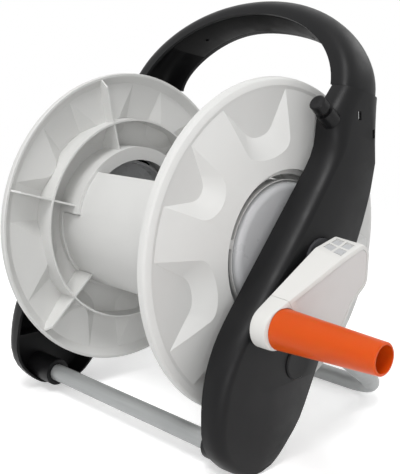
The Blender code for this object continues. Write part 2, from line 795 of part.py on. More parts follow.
def cover_screw(angle):
    """Foot, direction and reach of a screw post, square to the grip cover."""
    foot = handle_point(angle, 0.5, 0.0)
    along_cover = (handle_point(angle, 1.0, 0.0) - foot).normalized()
    rise = handle_point(angle, 0.5, 1.0) - foot
    rise -= along_cover * rise.dot(along_cover)
    return foot, rise.normalized(), rise.length


def cover_loop(angle):
    """Section of the grip cover: a thin lid with a crowned face."""
    side = (HANDLE_WALL + COVER_GAP) / handle_depth(angle)
    lift = COVER_THICKNESS / handle_height(angle, 0.5)
    outer = []
    inner = []
    for share in COVER_SHARES:
        across = side + share * (1 - 2 * side)
        crown = COVER_CROWN * (1 - (2 * share - 1) ** 4) * math.sin(math.radians(angle))
        outer.append(handle_point(angle, across, -crown))
        inner.append(handle_point(angle, across, lift - crown * COVER_BACK_CROWN))
    return outer + inner[::-1]


def grip_cover(name, parent):
    first, last = COVER_END_ANGLE, 180.0 - COVER_END_ANGLE
    angles = [first] + [angle for angle in handle_angles() if first < angle < last] + [last]
    cover = piece(name, lofted([cover_loop(a) for a in angles]), parent, SOFT_BLACK)
    holes = bmesh.new()
    for angle in (COVER_SCREW_ANGLE, 180.0 - COVER_SCREW_ANGLE):
        foot, direction, _ = cover_screw(angle)
        hole = rod_profile(-OVERRUN, OVERRUN, COVER_SCREW_RADIUS)
        add_turned(holes, hole, SMALL_STEPS, along(foot, direction))
    boolean(cover, "screw_holes", holes, "DIFFERENCE")


# Tubes


def front_tube(name, parent):
    end = FRONT_SOCKET_END_X - CLEARANCE
    bore = TUBE_RADIUS - TUBE_WALL
    profile = [(-end, bore), (-end, TUBE_RADIUS), (end, TUBE_RADIUS), (end, bore)]
    place = Matrix.Translation((0.0, *front_tube_yz()))
    piece(name, turned(profile, TUBE_STEPS, place), parent, TUBE_GREY)


def stand_path():
    """Centre line of the bent stand tube, with the direction at each point."""
    down = stand_direction()
    corner = Vector((STAND_LEG_X, STAND_BAR_Y, floor_z() + TUBE_RADIUS))
    centre = corner - down * STAND_BEND_RADIUS - Vector((STAND_BEND_RADIUS, 0.0, 0.0))
    half = [(stand_end(), down)]
    for i in range(BEND_STEPS + 1):
        turn = math.radians(90.0 * i / BEND_STEPS)
        spoke = Vector((math.cos(turn), 0.0, 0.0)) + down * math.sin(turn)
        heading = Vector((-math.sin(turn), 0.0, 0.0)) + down * math.cos(turn)
        half.append((centre + spoke * STAND_BEND_RADIUS, heading))
    mirror = Vector((-1.0, 1.0, 1.0))
    other = [(point * mirror, Vector((heading.x, -heading.y, -heading.z)))
             for point, heading in half[::-1]]
    return half + other


def stand_tube(name, parent):
    """Bent tube whose legs plug into the side frames."""
    down = stand_direction()
    level = Vector((1.0, 0.0, 0.0)).cross(down)
    outer = []
    inner = []
    for point, heading in stand_path():
        out = level.cross(heading)
        for loops, radius in ((outer, TUBE_RADIUS), (inner, TUBE_RADIUS - TUBE_WALL)):
            spokes = [math.tau * k / TUBE_STEPS for k in range(TUBE_STEPS)]
            loops.append([point + (level * math.cos(a) + out * math.sin(a)) * radius
                          for a in spokes])
    piece(name, lofted(outer + inner[::-1], ring=True), parent, TUBE_GREY)


# Reel


def dish_x(radius):
    """Outer face of the flange at a radius."""
    if radius >= BAND_RADIUS:
        slope = (BAND_X - RIM_X) / (RIM_RADIUS - BAND_RADIUS)
        return BAND_X - (radius - BAND_RADIUS) * slope
    share = (BAND_RADIUS - radius) / (BAND_RADIUS - OPENING_RADIUS)
    bulge = 4 * DISH_BULGE * share * (1 - share)
    return BAND_X + (OPENING_X - BAND_X) * share + bulge


def drum_inner():
    return DRUM_RADIUS - DRUM_WALL


def collar_radius():
    return drum_inner() - CLEARANCE


def dish_radius(share):
    """Radius at a share of the dish's width, from the rim band inwards."""
    return blend((BAND_RADIUS, OPENING_RADIUS), share)


def inside_wall(radius, share):
    """X inside the flange's wall, at a share of its thickness from the hose side."""
    return dish_x(radius) - FLANGE_WALL * (1 - share)


def pockets():
    """Centre angle and kind of each pocket, small and large in turn."""
    pitch = 360.0 / POCKET_COUNT
    for i in range(POCKET_COUNT):
        yield POCKET_START + pitch * i, LARGE_POCKET if i % 2 else SMALL_POCKET


def pocket_point(kind, end, share, grow):
    """Radius and angle on the round inner end of a pocket's mouth or floor, side to side.

    Grow moves it outwards, for the wall behind the pocket.
    """
    side, bottom = (dish_radius(reach) for reach in kind[f"{end}_shares"])
    bottom -= grow
    half = kind["half"] + math.degrees(grow / BAND_RADIUS)
    if end == "mouth":
        return side - (side - bottom) * math.sqrt(1 - share ** 2), half * share
    narrowing = kind["narrowing"]
    half -= narrowing
    corner = half - narrowing * (side - bottom) / (BAND_RADIUS - side)
    turned_in = blend((corner * 2, half), abs(share))
    return bottom + (side - bottom) * share ** 2, turned_in * share


def pocket_column(centre, kind, share, grow):
    """One line of the dish across a pocket, from the rim band to the mouth of the hub."""
    edge = centre + (kind["half"] + math.degrees(grow / BAND_RADIUS)) * share
    floor_radius, floor_angle = pocket_point(kind, "floor", share, grow)
    mouth_radius, mouth_angle = pocket_point(kind, "mouth", share, grow)
    return [(BAND_X, BAND_RADIUS, edge), (BAND_X, floor_radius, centre + floor_angle),
            (dish_x(mouth_radius), mouth_radius, centre + mouth_angle),
            (OPENING_X, OPENING_RADIUS, edge)]


def land_column(angle, side_radius):
    """One line of the dish between pockets. The side radius is where a pocket's side ends."""
    middle = (BAND_RADIUS + side_radius) / 2
    return [(dish_x(radius), radius, angle)
            for radius in (BAND_RADIUS, middle, side_radius, OPENING_RADIUS)]


def hub_angles(columns):
    """Angle of each line inside the mouth, where every second one inside a pocket is left out."""
    angles = [column[-1][2] for column in columns]
    per_pocket = len(POCKET_SHARES) + 3
    for start in range(0, len(angles), per_pocket):
        angles[start + 2] = angles[start + 1]
        angles[start + per_pocket - 4] = angles[start + per_pocket - 3]
    return angles


def dish_columns(grow):
    """Lines round the dish. Each pocket's edge has two, so that its side wall can flare."""
    columns = []
    kinds = list(pockets())
    widen = math.degrees(grow / BAND_RADIUS)
    for i, (centre, kind) in enumerate(kinds):
        half = kind["half"] + widen
        side = dish_radius(kind["mouth_shares"][0])
        columns.append(land_column(centre - half, side))
        columns += [pocket_column(centre, kind, share, grow) for share in POCKET_SHARES]
        columns.append(land_column(centre + half, side))
        after, next_kind = kinds[(i + 1) % len(kinds)]
        reach = half + (after - centre) % 360.0 - next_kind["half"] - widen
        middle = (side + dish_radius(next_kind["mouth_shares"][0])) / 2
        columns.append(land_column(centre + reach / 2, middle))
    return columns


def flange_section(front, back, hub_angle, wing):
    """Closed section of the flange on one pair of lines: dish, rim, web and collar."""
    edge = front[-1][2]
    web_back = WEB_X - FLANGE_WALL
    collar = collar_radius()
    inner = collar - COLLAR_WALL
    lip = COLLAR_END_X + COLLAR_LIP
    reach = DRUM_RADIUS + COLLAR_WING_PROUD if wing else collar
    tube = OPENING_RADIUS + FLANGE_WALL
    rim_back = RIM_X - RIM_THICKNESS
    loop = [(RIM_X, RIM_RADIUS, edge)] + front
    loop += [(x, radius, hub_angle) for x, radius in (
        (WEB_X, OPENING_RADIUS), (WEB_X, WEB_HOLE_RADIUS), (web_back, WEB_HOLE_RADIUS),
        (web_back, inner), (lip, inner), (lip, COLLAR_LIP_RADIUS),
        (COLLAR_END_X, COLLAR_LIP_RADIUS), (COLLAR_END_X, reach), (web_back, reach),
        (web_back, tube))]
    loop.append((dish_x(tube) - FLANGE_WALL, tube, edge))
    loop += [(x - FLANGE_WALL, radius, angle) for x, radius, angle in back[-2::-1]]
    loop.append((rim_back, RIM_RADIUS, edge))
    return [polar(*point) for point in loop]


def in_wing(angle):
    """Whether the collar stands out over the drum here, beside the hose window."""
    return COLLAR_WING[0] <= angle % 360.0 <= COLLAR_WING[1]


def flange_body():
    """Dish with flared pockets, even walls behind them, the web and the drum's collar."""
    fronts = dish_columns(0.0)
    lines = list(zip(fronts, dish_columns(FLANGE_WALL), hub_angles(fronts)))
    states = [in_wing(angle) for _, _, angle in lines]
    sections = []
    for i, line in enumerate(lines):
        if states[i] and not states[i - 1]:
            sections.append(flange_section(*line, False))
        sections.append(flange_section(*line, states[i]))
        if states[i] and not states[(i + 1) % len(lines)]:
            sections.append(flange_section(*line, False))
    bm = lofted(sections, ring=True)
    bmesh.ops.remove_doubles(bm, verts=bm.verts, dist=MERGE)
    return bm


def flange_ribs():
    """Ring rib and thin radial webs on the hose side."""
    half_rib = FLANGE_RIB / 2
    low = dish_radius(RING_RIB_SHARE) - half_rib
    high = low + FLANGE_RIB
    section = [(RING_RIB_X, low), (RING_RIB_X, high), (inside_wall(high, RIB_ROOT_SHARE), high),
               (inside_wall(low, RIB_ROOT_SHARE), low)]
    ring = turned(section, RING_STEPS)
    foot = OPENING_RADIUS + FLANGE_WALL / 2
    rim = RIM_RADIUS - FLANGE_WALL / 2
    chamfer = rim - BAND_RADIUS
    shape = [(FLANGE_RIB_X, foot)]
    shape += [(inside_wall(radius, RIB_ROOT_SHARE), radius)
              for radius in (foot, (foot + BAND_RADIUS) / 2, BAND_RADIUS, rim)]
    shape += [(FLANGE_RIB_X + chamfer, rim), (FLANGE_RIB_X, BAND_RADIUS)]
    spokes = bmesh.new()
    for i in range(FLANGE_RIB_COUNT):
        angle = FLANGE_RIB_START + 360.0 * i / FLANGE_RIB_COUNT
        turn = math.radians(angle)
        aside = Vector((0.0, math.sin(turn), math.cos(turn))) * half_rib
        add_loft(spokes, [[polar(x, r, angle) + aside * sign for x, r in shape]
                          for sign in (-1, 1)])
    return ring, spokes


def pocket_blocks():
    """Pockets grown to the middle of their walls. They trim what the ribs would push through."""
    bm = bmesh.new()
    grow = FLANGE_WALL / 2
    for centre, kind in pockets():
        loops = []
        for end, x in (("floor", BAND_X - grow), ("mouth", None), ("mouth", OPENING_X)):
            arc = [pocket_point(kind, end, share, grow) for share in POCKET_SHARES]
            half = kind["half"] + math.degrees(grow / BAND_RADIUS)
            arc += [(BAND_RADIUS + POCKET_OVERLAP, half), (BAND_RADIUS + POCKET_OVERLAP, -half)]
            loops.append([polar(dish_x(r) if x is None else x, r, centre + a)
                          for r, a in arc])
        add_loft(bm, loops)
    return bm


def flange(name, parent, side):
    disc = piece(name, flange_body(), parent, PALE_GREY, side)
    for label, bm in zip(("ring_rib", "spokes"), flange_ribs()):
        rib = boolean(disc, label, bm, "UNION", side)
        boolean(rib, "clearing", pocket_blocks(), "DIFFERENCE", side)


def drum_shell(name, parent, side):
    """Half of the drum. Its window edge stops at the collars, its foot at the webs."""
    half_gap = math.degrees(CLEARANCE / 2 / DRUM_RADIUS)
    start = DRUM_SPLIT_ANGLE + half_gap
    sweep = DRUM_WINDOW_ANGLE - start
    reach = WEB_X - FLANGE_WALL - CLEARANCE
    steps = round(DRUM_STEPS * sweep / 360.0)
    shape = [(-reach, drum_inner()), (-reach, DRUM_RADIUS), (reach, DRUM_RADIUS),
             (reach, drum_inner())]
    angles = [start + sweep * i / steps for i in range(steps + 1)]
    bm = lofted([[polar(x, r, a if side > 0 else 180.0 - a) for x, r in shape]
                 for a in angles])
    shell = piece(name, bm, parent, PALE_GREY)
    cuts = bmesh.new()
    low = (COLLAR_WING[0] if side > 0 else 180.0 - COLLAR_WING[1]) - half_gap
    high = DRUM_WINDOW_ANGLE + DRUM_WINDOW_OVERLAP
    for end in (-1, 1):
        near = (COLLAR_END_X - CLEARANCE) * end
        far = (reach + OVERRUN) * end
        thin = drum_inner() - OVERRUN / 2
        wide = DRUM_RADIUS + OVERRUN / 2
        block = [(near, thin), (near, wide), (far, wide), (far, thin)]
        add_loft(cuts, [[polar(x, r, a if side > 0 else 180.0 - a) for x, r in block]
                        for a in (low, (low + high) / 2, high)])
    boolean(shell, "window_corners", cuts, "DIFFERENCE")


def hub_cover(name, parent, side):
    """Silver disc in the mouth of a flange, with the sleeve that grips the shaft."""
    bore = SHAFT_RADIUS + CLEARANCE
    rim = WEB_HOLE_RADIUS - HUB_GAP
    inner_rim = rim - HUB_WALL
    nose = OPENING_X + HUB_NOSE
    skirt = OPENING_X - HUB_SKIRT
    back = OPENING_X - HUB_WALL
    tube_end = OPENING_X - HUB_TUBE_LENGTH
    profile = [
        (nose, bore), (nose, HUB_NOSE_RADIUS), (OPENING_X, HUB_NOSE_RADIUS + HUB_NOSE_FOOT),
        (OPENING_X, rim - HUB_EDGE_WIDTH), (OPENING_X - HUB_EDGE, rim), (skirt, rim),
        (skirt, inner_rim), (back - HUB_EDGE, inner_rim), (back, rim - HUB_EDGE_WIDTH),
        (back, HUB_TUBE_RADIUS), (tube_end, HUB_TUBE_RADIUS), (tube_end, bore),
    ]
    piece(name, turned(profile, HUB_STEPS), parent, SILVER, side)


def axle_bush(name, parent, side):
    bore = SHAFT_RADIUS + RUNNING_CLEARANCE
    seat = bush_seat_x() + CLEARANCE
    outer = seat + BUSH_FLANGE
    profile = [(BUSH_INNER_X, bore), (BUSH_INNER_X, bush_radius()), (seat, bush_radius()),
               (seat, BUSH_FLANGE_RADIUS), (outer, BUSH_FLANGE_RADIUS), (outer, bore)]
    piece(name, turned(profile, PIN_STEPS), parent, DARK_PLASTIC, side)


# Crank


def spigot_end_x():
    return ARM_BACK_X + CRANK_SPIGOT_LENGTH


def crank_shaft(name, parent):
    shoulder = ARM_BACK_X - CLEARANCE
    tapped = CRANK_SCREW_RADIUS + CLEARANCE
    bottom = spigot_end_x() - CRANK_SCREW_BITE - CLEARANCE
    profile = [(SHAFT_INNER_X, 0.0), (SHAFT_INNER_X, SHAFT_RADIUS), (shoulder, SHAFT_RADIUS),
               (shoulder, CRANK_SPIGOT_RADIUS), (spigot_end_x(), CRANK_SPIGOT_RADIUS),
               (spigot_end_x(), tapped), (bottom, tapped), (bottom, 0.0)]
    piece(name, turned(profile, PIN_STEPS), parent, DARK_PLASTIC)


def crank_radius():
    return Vector(GRIP_YZ).length


def arm_front(y, z):
    """X of the arm's front face, which falls from the hub to the grip."""
    along_arm = Vector((y, z)).dot(Vector(GRIP_YZ)) / crank_radius() ** 2
    return ARM_BACK_X + ARM_HUB_DEPTH + (ARM_GRIP_DEPTH - ARM_HUB_DEPTH) * along_arm


def drafted(y, z):
    """Where an outline point lies on the front face: the upper wall leans back to it."""
    lengthwise = Vector(GRIP_YZ).normalized()
    upward = Vector((lengthwise.y, -lengthwise.x))
    lift = Vector((y, z)).dot(upward)
    rest = 1 - Vector((y, z)).dot(lengthwise) / crank_radius()
    share = ARM_DRAFT_SHARE * min(max(rest / ARM_DRAFT_RUN_SHARE, 0.0), 1.0)
    return Vector((y, z)) - upward * max(lift, 0.0) * share


def arm_outline():
    grip_y, grip_z = GRIP_YZ
    lower = grip_z - ARM_END_RADIUS
    toe = (grip_y - ARM_TOE_REACH, lower, ARM_END_RADIUS)
    heel_y, heel_radius = ARM_HEEL
    return rounded([toe, (heel_y, lower, heel_radius), *ARM_CORNERS[::-1]])


def arm_loft(outline, layers):
    """Stacked copies of the outline. A layer is (inset, x), x None meaning the front."""
    loops = []
    front = [drafted(y, z) for y, z in outline]
    for distance, x, below in layers:
        loop = inset(outline if x is not None else front, distance)
        loops.append([Vector((arm_front(y, z) - below if x is None else x, y, z))
                      for y, z in loop])
    return lofted(loops)


def seam_plane(offset):
    """Plane square to the arm's length, at a distance from the grip's axis."""
    toward_hub = -Vector((0.0, *GRIP_YZ)).normalized()
    return Vector((0.0, *GRIP_YZ)) + toward_hub * offset, toward_hub


def arm_layers():
    return [(ARM_BACK_EDGE, ARM_BACK_X, 0.0), (0.0, ARM_BACK_X + ARM_BACK_EDGE, 0.0),
            (0.0, None, ARM_EDGE), (ARM_EDGE * EDGE_SHARE, None, ARM_EDGE * EDGE_SHARE),
            (ARM_EDGE, None, 0.0)]


def crank_arm(name, parent):
    outline = arm_outline()
    bm = arm_loft(outline, arm_layers())
    point, toward_hub = seam_plane(ARM_SEAM + CLEARANCE / 2)
    cut_off(bm, point, -toward_hub)
    arm = piece(name, bm, parent, WHITE)
    recess = arm_loft(outline, [(ARM_BORDER, None, FACE_RECESS), (ARM_BORDER, None, -OVERRUN)])
    point, toward_hub = seam_plane(ARM_SEAM + FACE_MARGIN)
    cut_off(recess, point, -toward_hub)
    boolean(arm, "face_recess", recess, "DIFFERENCE")
    bore = CRANK_SPIGOT_RADIUS + CLEARANCE
    web = spigot_end_x() + CLEARANCE
    seat = web + CRANK_SCREW_WEB
    hole = CRANK_SCREW_RADIUS + CLEARANCE
    head = CRANK_SCREW_HEAD_RADIUS + CLEARANCE
    far = ARM_BACK_X + ARM_HUB_DEPTH + OVERRUN
    near = ARM_BACK_X - OVERRUN
    profile = [(near, 0.0), (near, bore), (web, bore), (web, hole), (seat, hole),
               (seat, head), (far, head), (far, 0.0)]
    boolean(arm, "hub_bore", turned(profile, PIN_STEPS), "DIFFERENCE")
    boolean(arm, "vents", arm_vents(), "DIFFERENCE")
    boolean(arm, "grip_seat", grip_seat(), "DIFFERENCE")


def arm_vents():
    """Four shallow squares in the arm's upper wall beside the hub."""
    first = Vector(ARM_CORNERS[0][:2])
    second = Vector(ARM_CORNERS[1][:2])
    along_wall, up_wall = VENT_SHARES
    foot = first + (second - first) * along_wall
    head = drafted(*foot)
    back = Vector((ARM_BACK_X, *foot))
    front = Vector((arm_front(*head), *head))
    run = Vector((0.0, *(second - first))).normalized()
    out = (front - back).cross(run).normalized()
    across = run.cross(out)
    turn = Matrix((across, run, out)).transposed().to_4x4()
    bm = bmesh.new()
    across_pitch, along_pitch = VENT_PITCHES
    for i in (-0.5, 0.5):
        for j in (-0.5, 0.5):
            place = back + (front - back) * up_wall + across * across_pitch * i + run * along_pitch * j
            add_box(bm, place, (*VENT_SIZES, 2 * VENT_DEPTH), turn)
    return bm


def grip_seat():
    """Flat round seat for the grip in the sloping front of the arm and its end cap."""
    radius = GRIP_BASE_RADIUS + GRIP_SEAT_MARGIN
    place = Matrix.Translation((0.0, *GRIP_YZ))
    return turned(rod_profile(grip_seat_x(), grip_seat_x() + OVERRUN, radius), PIN_STEPS, place)


def crank_end_cap(name, parent):
    bm = arm_loft(arm_outline(), arm_layers())
    point, toward_hub = seam_plane(ARM_SEAM - CLEARANCE / 2)
    cut_off(bm, point, toward_hub)
    cap = piece(name, bm, parent, WHITE)
    boolean(cap, "grip_seat", grip_seat(), "DIFFERENCE")
    bottom = grip_seat_x() - PIN_DEPTH
    hole = rod_profile(bottom, grip_seat_x() + OVERRUN, PIN_RADIUS + CLEARANCE)
    place = Matrix.Translation((0.0, *GRIP_YZ))
    boolean(cap, "pin_hole", turned(hole, PIN_STEPS, place), "DIFFERENCE")


def crank_face(name, parent):
    margin = ARM_BORDER + CLEARANCE
    back = FACE_RECESS - CLEARANCE
    bm = arm_loft(arm_outline(), [(margin, None, back), (margin, None, back - FACE_THICKNESS)])
    point, toward_hub = seam_plane(ARM_SEAM + FACE_MARGIN + CLEARANCE)
    cut_off(bm, point, -toward_hub)
    piece(name, bm, parent, PANEL_GREY)


def crank_screw(name, parent):
    tip = spigot_end_x() - CRANK_SCREW_BITE
    seat = spigot_end_x() + 2 * CLEARANCE + CRANK_SCREW_WEB
    profile = [(tip, 0.0), (tip, CRANK_SCREW_RADIUS), (seat, CRANK_SCREW_RADIUS),
               (seat, CRANK_SCREW_HEAD_RADIUS),
               (seat + CRANK_SCREW_HEAD, CRANK_SCREW_HEAD_RADIUS * CRANK_SCREW_TAPER),
               (seat + CRANK_SCREW_HEAD, 0.0)]
    piece(name, turned(profile, SMALL_STEPS), parent, STEEL)


# Grip


def grip_seat_x():
    return arm_front(*GRIP_YZ) - GRIP_SEAT_DEPTH


def grip_base_x():
    return grip_seat_x() + CLEARANCE


def grip_sleeve(name, parent):
    """Tapered hollow sleeve, turned about its own axis at the parent."""
    base = grip_base_x()
    end = base + GRIP_LENGTH
    floor = base + GRIP_FLOOR
    bore = PIN_RADIUS + RUNNING_CLEARANCE
    edge = GRIP_EDGE
    profile = [(base, bore), (base, GRIP_BASE_RADIUS), (end - edge, GRIP_END_RADIUS),
               (end, GRIP_END_RADIUS - edge),
               (end, GRIP_END_RADIUS - GRIP_WALL), (floor, GRIP_BASE_RADIUS - GRIP_WALL * 2),
               (floor, bore)]
    piece(name, turned(profile, GRIP_STEPS), parent, ORANGE)


def grip_pin(name, parent):
    tip = grip_seat_x() - PIN_DEPTH + CLEARANCE
    head = grip_base_x() + GRIP_FLOOR + CLEARANCE
    profile = [(tip, 0.0), (tip, PIN_RADIUS), (head, PIN_RADIUS), (head, PIN_HEAD_RADIUS),
               (head + PIN_HEAD, PIN_HEAD_RADIUS * PIN_HEAD_TAPER), (head + PIN_HEAD, 0.0)]
    place = Matrix.Translation((0.0, *GRIP_YZ))
    piece(name, turned(profile, PIN_STEPS, place), parent, STEEL)


# Water path


def reel_spindle(name, parent):
    """Hollow left half of the axle, closed inside the drum."""
    plug = SPINDLE_INNER_X - SPINDLE_PLUG
    profile = [(SPINDLE_END_X, SPINDLE_BORE_RADIUS), (SPINDLE_END_X, SHAFT_RADIUS),
               (SPINDLE_INNER_X, SHAFT_RADIUS), (SPINDLE_INNER_X, 0.0), (plug, 0.0),
               (plug, SPINDLE_BORE_RADIUS)]
    spindle = piece(name, turned(profile, PIN_STEPS), parent, DARK_PLASTIC)
    up = along((OUTLET_X, 0.0, 0.0), (0.0, 0.0, 1.0))
    neck = OUTLET_RADIUS - OUTLET_NECK
    hole = rod_profile(0.0, SHAFT_RADIUS + OVERRUN, neck + CLEARANCE)
    boolean(spindle, "outlet_hole", turned(hole, TUBE_STEPS, up), "DIFFERENCE")


def hose_outlet(name, parent):
    """Barbed spout that leads water from the spindle to the drum's window."""
    neck = OUTLET_RADIUS - OUTLET_NECK
    shoulder = SHAFT_RADIUS + CLEARANCE
    barb = OUTLET_TOP - OUTLET_BARB
    profile = [(OUTLET_SEAT, OUTLET_BORE_RADIUS), (OUTLET_SEAT, neck), (shoulder, neck),
               (shoulder, OUTLET_RADIUS), (barb - OUTLET_BARB, OUTLET_RADIUS),
               (barb - OUTLET_BARB * OUTLET_BARB_SLOPE, neck), (barb, OUTLET_RADIUS),
               (OUTLET_TOP, neck), (OUTLET_TOP, OUTLET_BORE_RADIUS)]
    up = along((OUTLET_X, 0.0, 0.0), (0.0, 0.0, 1.0))
    piece(name, turned(profile, TUBE_STEPS, up), parent, DARK_PLASTIC)


def outlet_nut(name, parent):
    bore = OUTLET_RADIUS + CLEARANCE
    top = OUTLET_NUT_BASE + OUTLET_NUT_LENGTH
    profile = [(OUTLET_NUT_BASE, bore), (OUTLET_NUT_BASE, OUTLET_NUT_RADIUS),
               (top, OUTLET_NUT_RADIUS), (top, bore)]
    up = along((OUTLET_X, 0.0, 0.0), (0.0, 0.0, 1.0))
    piece(name, turned(profile, TUBE_STEPS, up), parent, DARK_PLASTIC)


def inlet_elbow(name, parent):
    """Swivel elbow over the spindle's outer end, with a leg that points down."""
    edge = ELBOW_EDGE
    body = [(ELBOW_INNER_X, 0.0), (ELBOW_INNER_X, ELBOW_RADIUS),
            (ELBOW_OUTER_X + edge, ELBOW_RADIUS), (ELBOW_OUTER_X, ELBOW_RADIUS - edge),
            (ELBOW_OUTER_X, 0.0)]
    elbow = piece(name, turned(body, PIN_STEPS), parent, DARK_PLASTIC)
    down = along((SPINDLE_END_X, 0.0, 0.0), (0.0, 0.0, -1.0))
    leg = rod_profile(ELBOW_RADIUS / 2, ELBOW_LEG_LENGTH, ELBOW_LEG_RADIUS)
    boolean(elbow, "leg", turned(leg, TUBE_STEPS, down), "UNION")
    socket = SHAFT_RADIUS + RUNNING_CLEARANCE
    seal = SPINDLE_END_X - SEAL_THICKNESS - 2 * CLEARANCE
    floor = ELBOW_OUTER_X + ELBOW_FLOOR
    near = ELBOW_INNER_X + OVERRUN
    bore = [(near, 0.0), (near, socket), (seal, socket), (seal, SPINDLE_BORE_RADIUS),
            (floor, SPINDLE_BORE_RADIUS), (floor, 0.0)]
    boolean(elbow, "bore", turned(bore, PIN_STEPS), "DIFFERENCE")
    drop = along(((seal + floor) / 2, 0.0, 0.0), (0.0, 0.0, -1.0))
    passage = rod_profile(0.0, ELBOW_LEG_LENGTH + OVERRUN, ELBOW_PASSAGE_RADIUS)
    boolean(elbow, "passage", turned(passage, SMALL_STEPS, drop), "DIFFERENCE")


def inlet_seal(name, parent):
    outer = SPINDLE_END_X - SEAL_THICKNESS - CLEARANCE
    inner = SPINDLE_END_X - CLEARANCE
    profile = [(outer, SPINDLE_BORE_RADIUS), (outer, SHAFT_RADIUS), (inner, SHAFT_RADIUS),
               (inner, SPINDLE_BORE_RADIUS)]
    piece(name, turned(profile, PIN_STEPS), parent, RUBBER)


def inlet_connector(name, parent):
    """Push-fit connector screwed on the elbow's leg."""
    top = ELBOW_LEG_LENGTH - CONNECTOR_SKIRT
    land = ELBOW_LEG_LENGTH + CLEARANCE
    bore = ELBOW_LEG_RADIUS + CLEARANCE
    shoulder = land + CONNECTOR_SHOULDER
    tip = ELBOW_LEG_LENGTH + CONNECTOR_LENGTH - CONNECTOR_SKIRT
    waist = CONNECTOR_TIP_RADIUS - CONNECTOR_GROOVE
    above, groove, below, end = (tip - ridge for ridge in CONNECTOR_RIDGES)
    profile = [(top, bore), (top, CONNECTOR_RADIUS), (shoulder, CONNECTOR_RADIUS),
               (shoulder, CONNECTOR_TIP_RADIUS), (above, CONNECTOR_TIP_RADIUS),
               (groove, waist), (below, CONNECTOR_TIP_RADIUS), (end, CONNECTOR_TIP_RADIUS),
               (tip, waist), (tip, CONNECTOR_BORE_RADIUS), (land, CONNECTOR_BORE_RADIUS),
               (land, bore)]
    down = along((SPINDLE_END_X, 0.0, 0.0), (0.0, 0.0, -1.0))
    piece(name, turned(profile, TUBE_STEPS, down), parent, DARK_PLASTIC)


def build_frame(parent):
    for label, side in (("right", 1), ("left", -1)):
        side_frame(f"{label}_side_frame", parent, side)
        axle_bush(f"{label}_axle_bush", parent, side)
        boss_cap(f"{label}_stand_boss_cap", parent, side)
        foot_pad(f"{label}_foot_pad", parent, side)
    handle_shell("carry_handle_shell", parent)
    grip_cover("carry_handle_cover", parent)
    front_tube("front_tube", parent)
    stand_tube("rear_stand_tube", parent)
    parking_peg("hose_parking_peg", parent)


def build_reel(axle):
    for label, side in (("right", 1), ("left", -1)):
        flange(f"{label}_flange", axle, side)
        hub_cover(f"{label}_hub_cover", axle, side)
    drum_shell("drum_front_shell", axle, 1)
    drum_shell("drum_rear_shell", axle, -1)
    crank_shaft("crank_shaft", axle)
    crank_arm("crank_arm", axle)
    crank_end_cap("crank_end_cap", axle)
    crank_face("crank_face_panel", axle)
    crank_screw("crank_screw", axle)
    grip_pin("grip_pin", axle)
    reel_spindle("reel_spindle", axle)
    hose_outlet("hose_outlet", axle)
    outlet_nut("outlet_nut", axle)


def build_inlet(swivel):
    inlet_elbow("inlet_elbow", swivel)
    inlet_seal("inlet_seal", swivel)
    inlet_connector("inlet_connector", swivel)


def stand_on_floor(root):
    """Moves the root so that the middle of the object's underside is at the origin."""
    bpy.context.view_layer.update()
    graph = bpy.context.evaluated_depsgraph_get()
    corners = []
    for obj in bpy.context.scene.objects:
        if obj.type == "MESH" and not obj.hide_render:
            solid = obj.evaluated_get(graph)
            corners += [solid.matrix_world @ Vector(corner) for corner in solid.bound_box]
    low = [min(corner[i] for corner in corners) for i in range(3)]
    high = [max(corner[i] for corner in corners) for i in range(3)]
    root.location = (-(low[0] + high[0]) / 2, -(low[1] + high[1]) / 2, -low[2])


def main():
    for obj in list(bpy.data.objects):
        bpy.data.objects.remove(obj)
    root = empty("hose_reel")
    axle = empty("reel_axle", root)
    build_frame(root)
    build_reel(axle)
    grip_axis = empty("grip_axis", axle, (0.0, *GRIP_YZ))
    grip_sleeve("grip_sleeve", grip_axis)
    build_inlet(empty("inlet_swivel", root))
    stand_on_floor(root)


main()
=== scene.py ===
"""Looks of the portable garden hose reel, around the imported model.

Finer pieces take the place of the plain solids, in the same frame and at the same size:
they are drawn about the axle line, as the solids are, and set at the axle's place. The
solids that are hidden or small keep their shape and get a finish.
"""

import json
import math

import bmesh
import bpy
from mathutils import Matrix, Vector

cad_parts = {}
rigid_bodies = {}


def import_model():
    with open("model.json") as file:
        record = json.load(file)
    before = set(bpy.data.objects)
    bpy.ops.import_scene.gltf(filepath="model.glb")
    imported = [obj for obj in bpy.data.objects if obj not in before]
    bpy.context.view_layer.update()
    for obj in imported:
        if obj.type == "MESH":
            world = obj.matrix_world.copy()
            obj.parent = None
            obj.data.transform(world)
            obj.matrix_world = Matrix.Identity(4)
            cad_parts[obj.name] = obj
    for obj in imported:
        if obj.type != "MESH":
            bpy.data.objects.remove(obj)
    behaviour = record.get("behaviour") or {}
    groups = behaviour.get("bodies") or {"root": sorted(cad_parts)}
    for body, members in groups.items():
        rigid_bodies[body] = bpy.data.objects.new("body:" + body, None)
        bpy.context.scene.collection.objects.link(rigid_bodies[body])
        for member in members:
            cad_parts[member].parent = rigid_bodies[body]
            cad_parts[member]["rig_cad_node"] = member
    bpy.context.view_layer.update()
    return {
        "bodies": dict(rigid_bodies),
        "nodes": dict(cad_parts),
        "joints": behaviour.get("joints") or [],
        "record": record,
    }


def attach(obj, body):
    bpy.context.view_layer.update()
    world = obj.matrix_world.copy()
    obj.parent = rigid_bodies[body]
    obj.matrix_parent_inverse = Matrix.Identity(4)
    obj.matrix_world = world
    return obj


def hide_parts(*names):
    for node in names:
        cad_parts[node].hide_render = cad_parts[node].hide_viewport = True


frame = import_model()
AXLE = Vector(frame["joints"][0]["pos_m"])

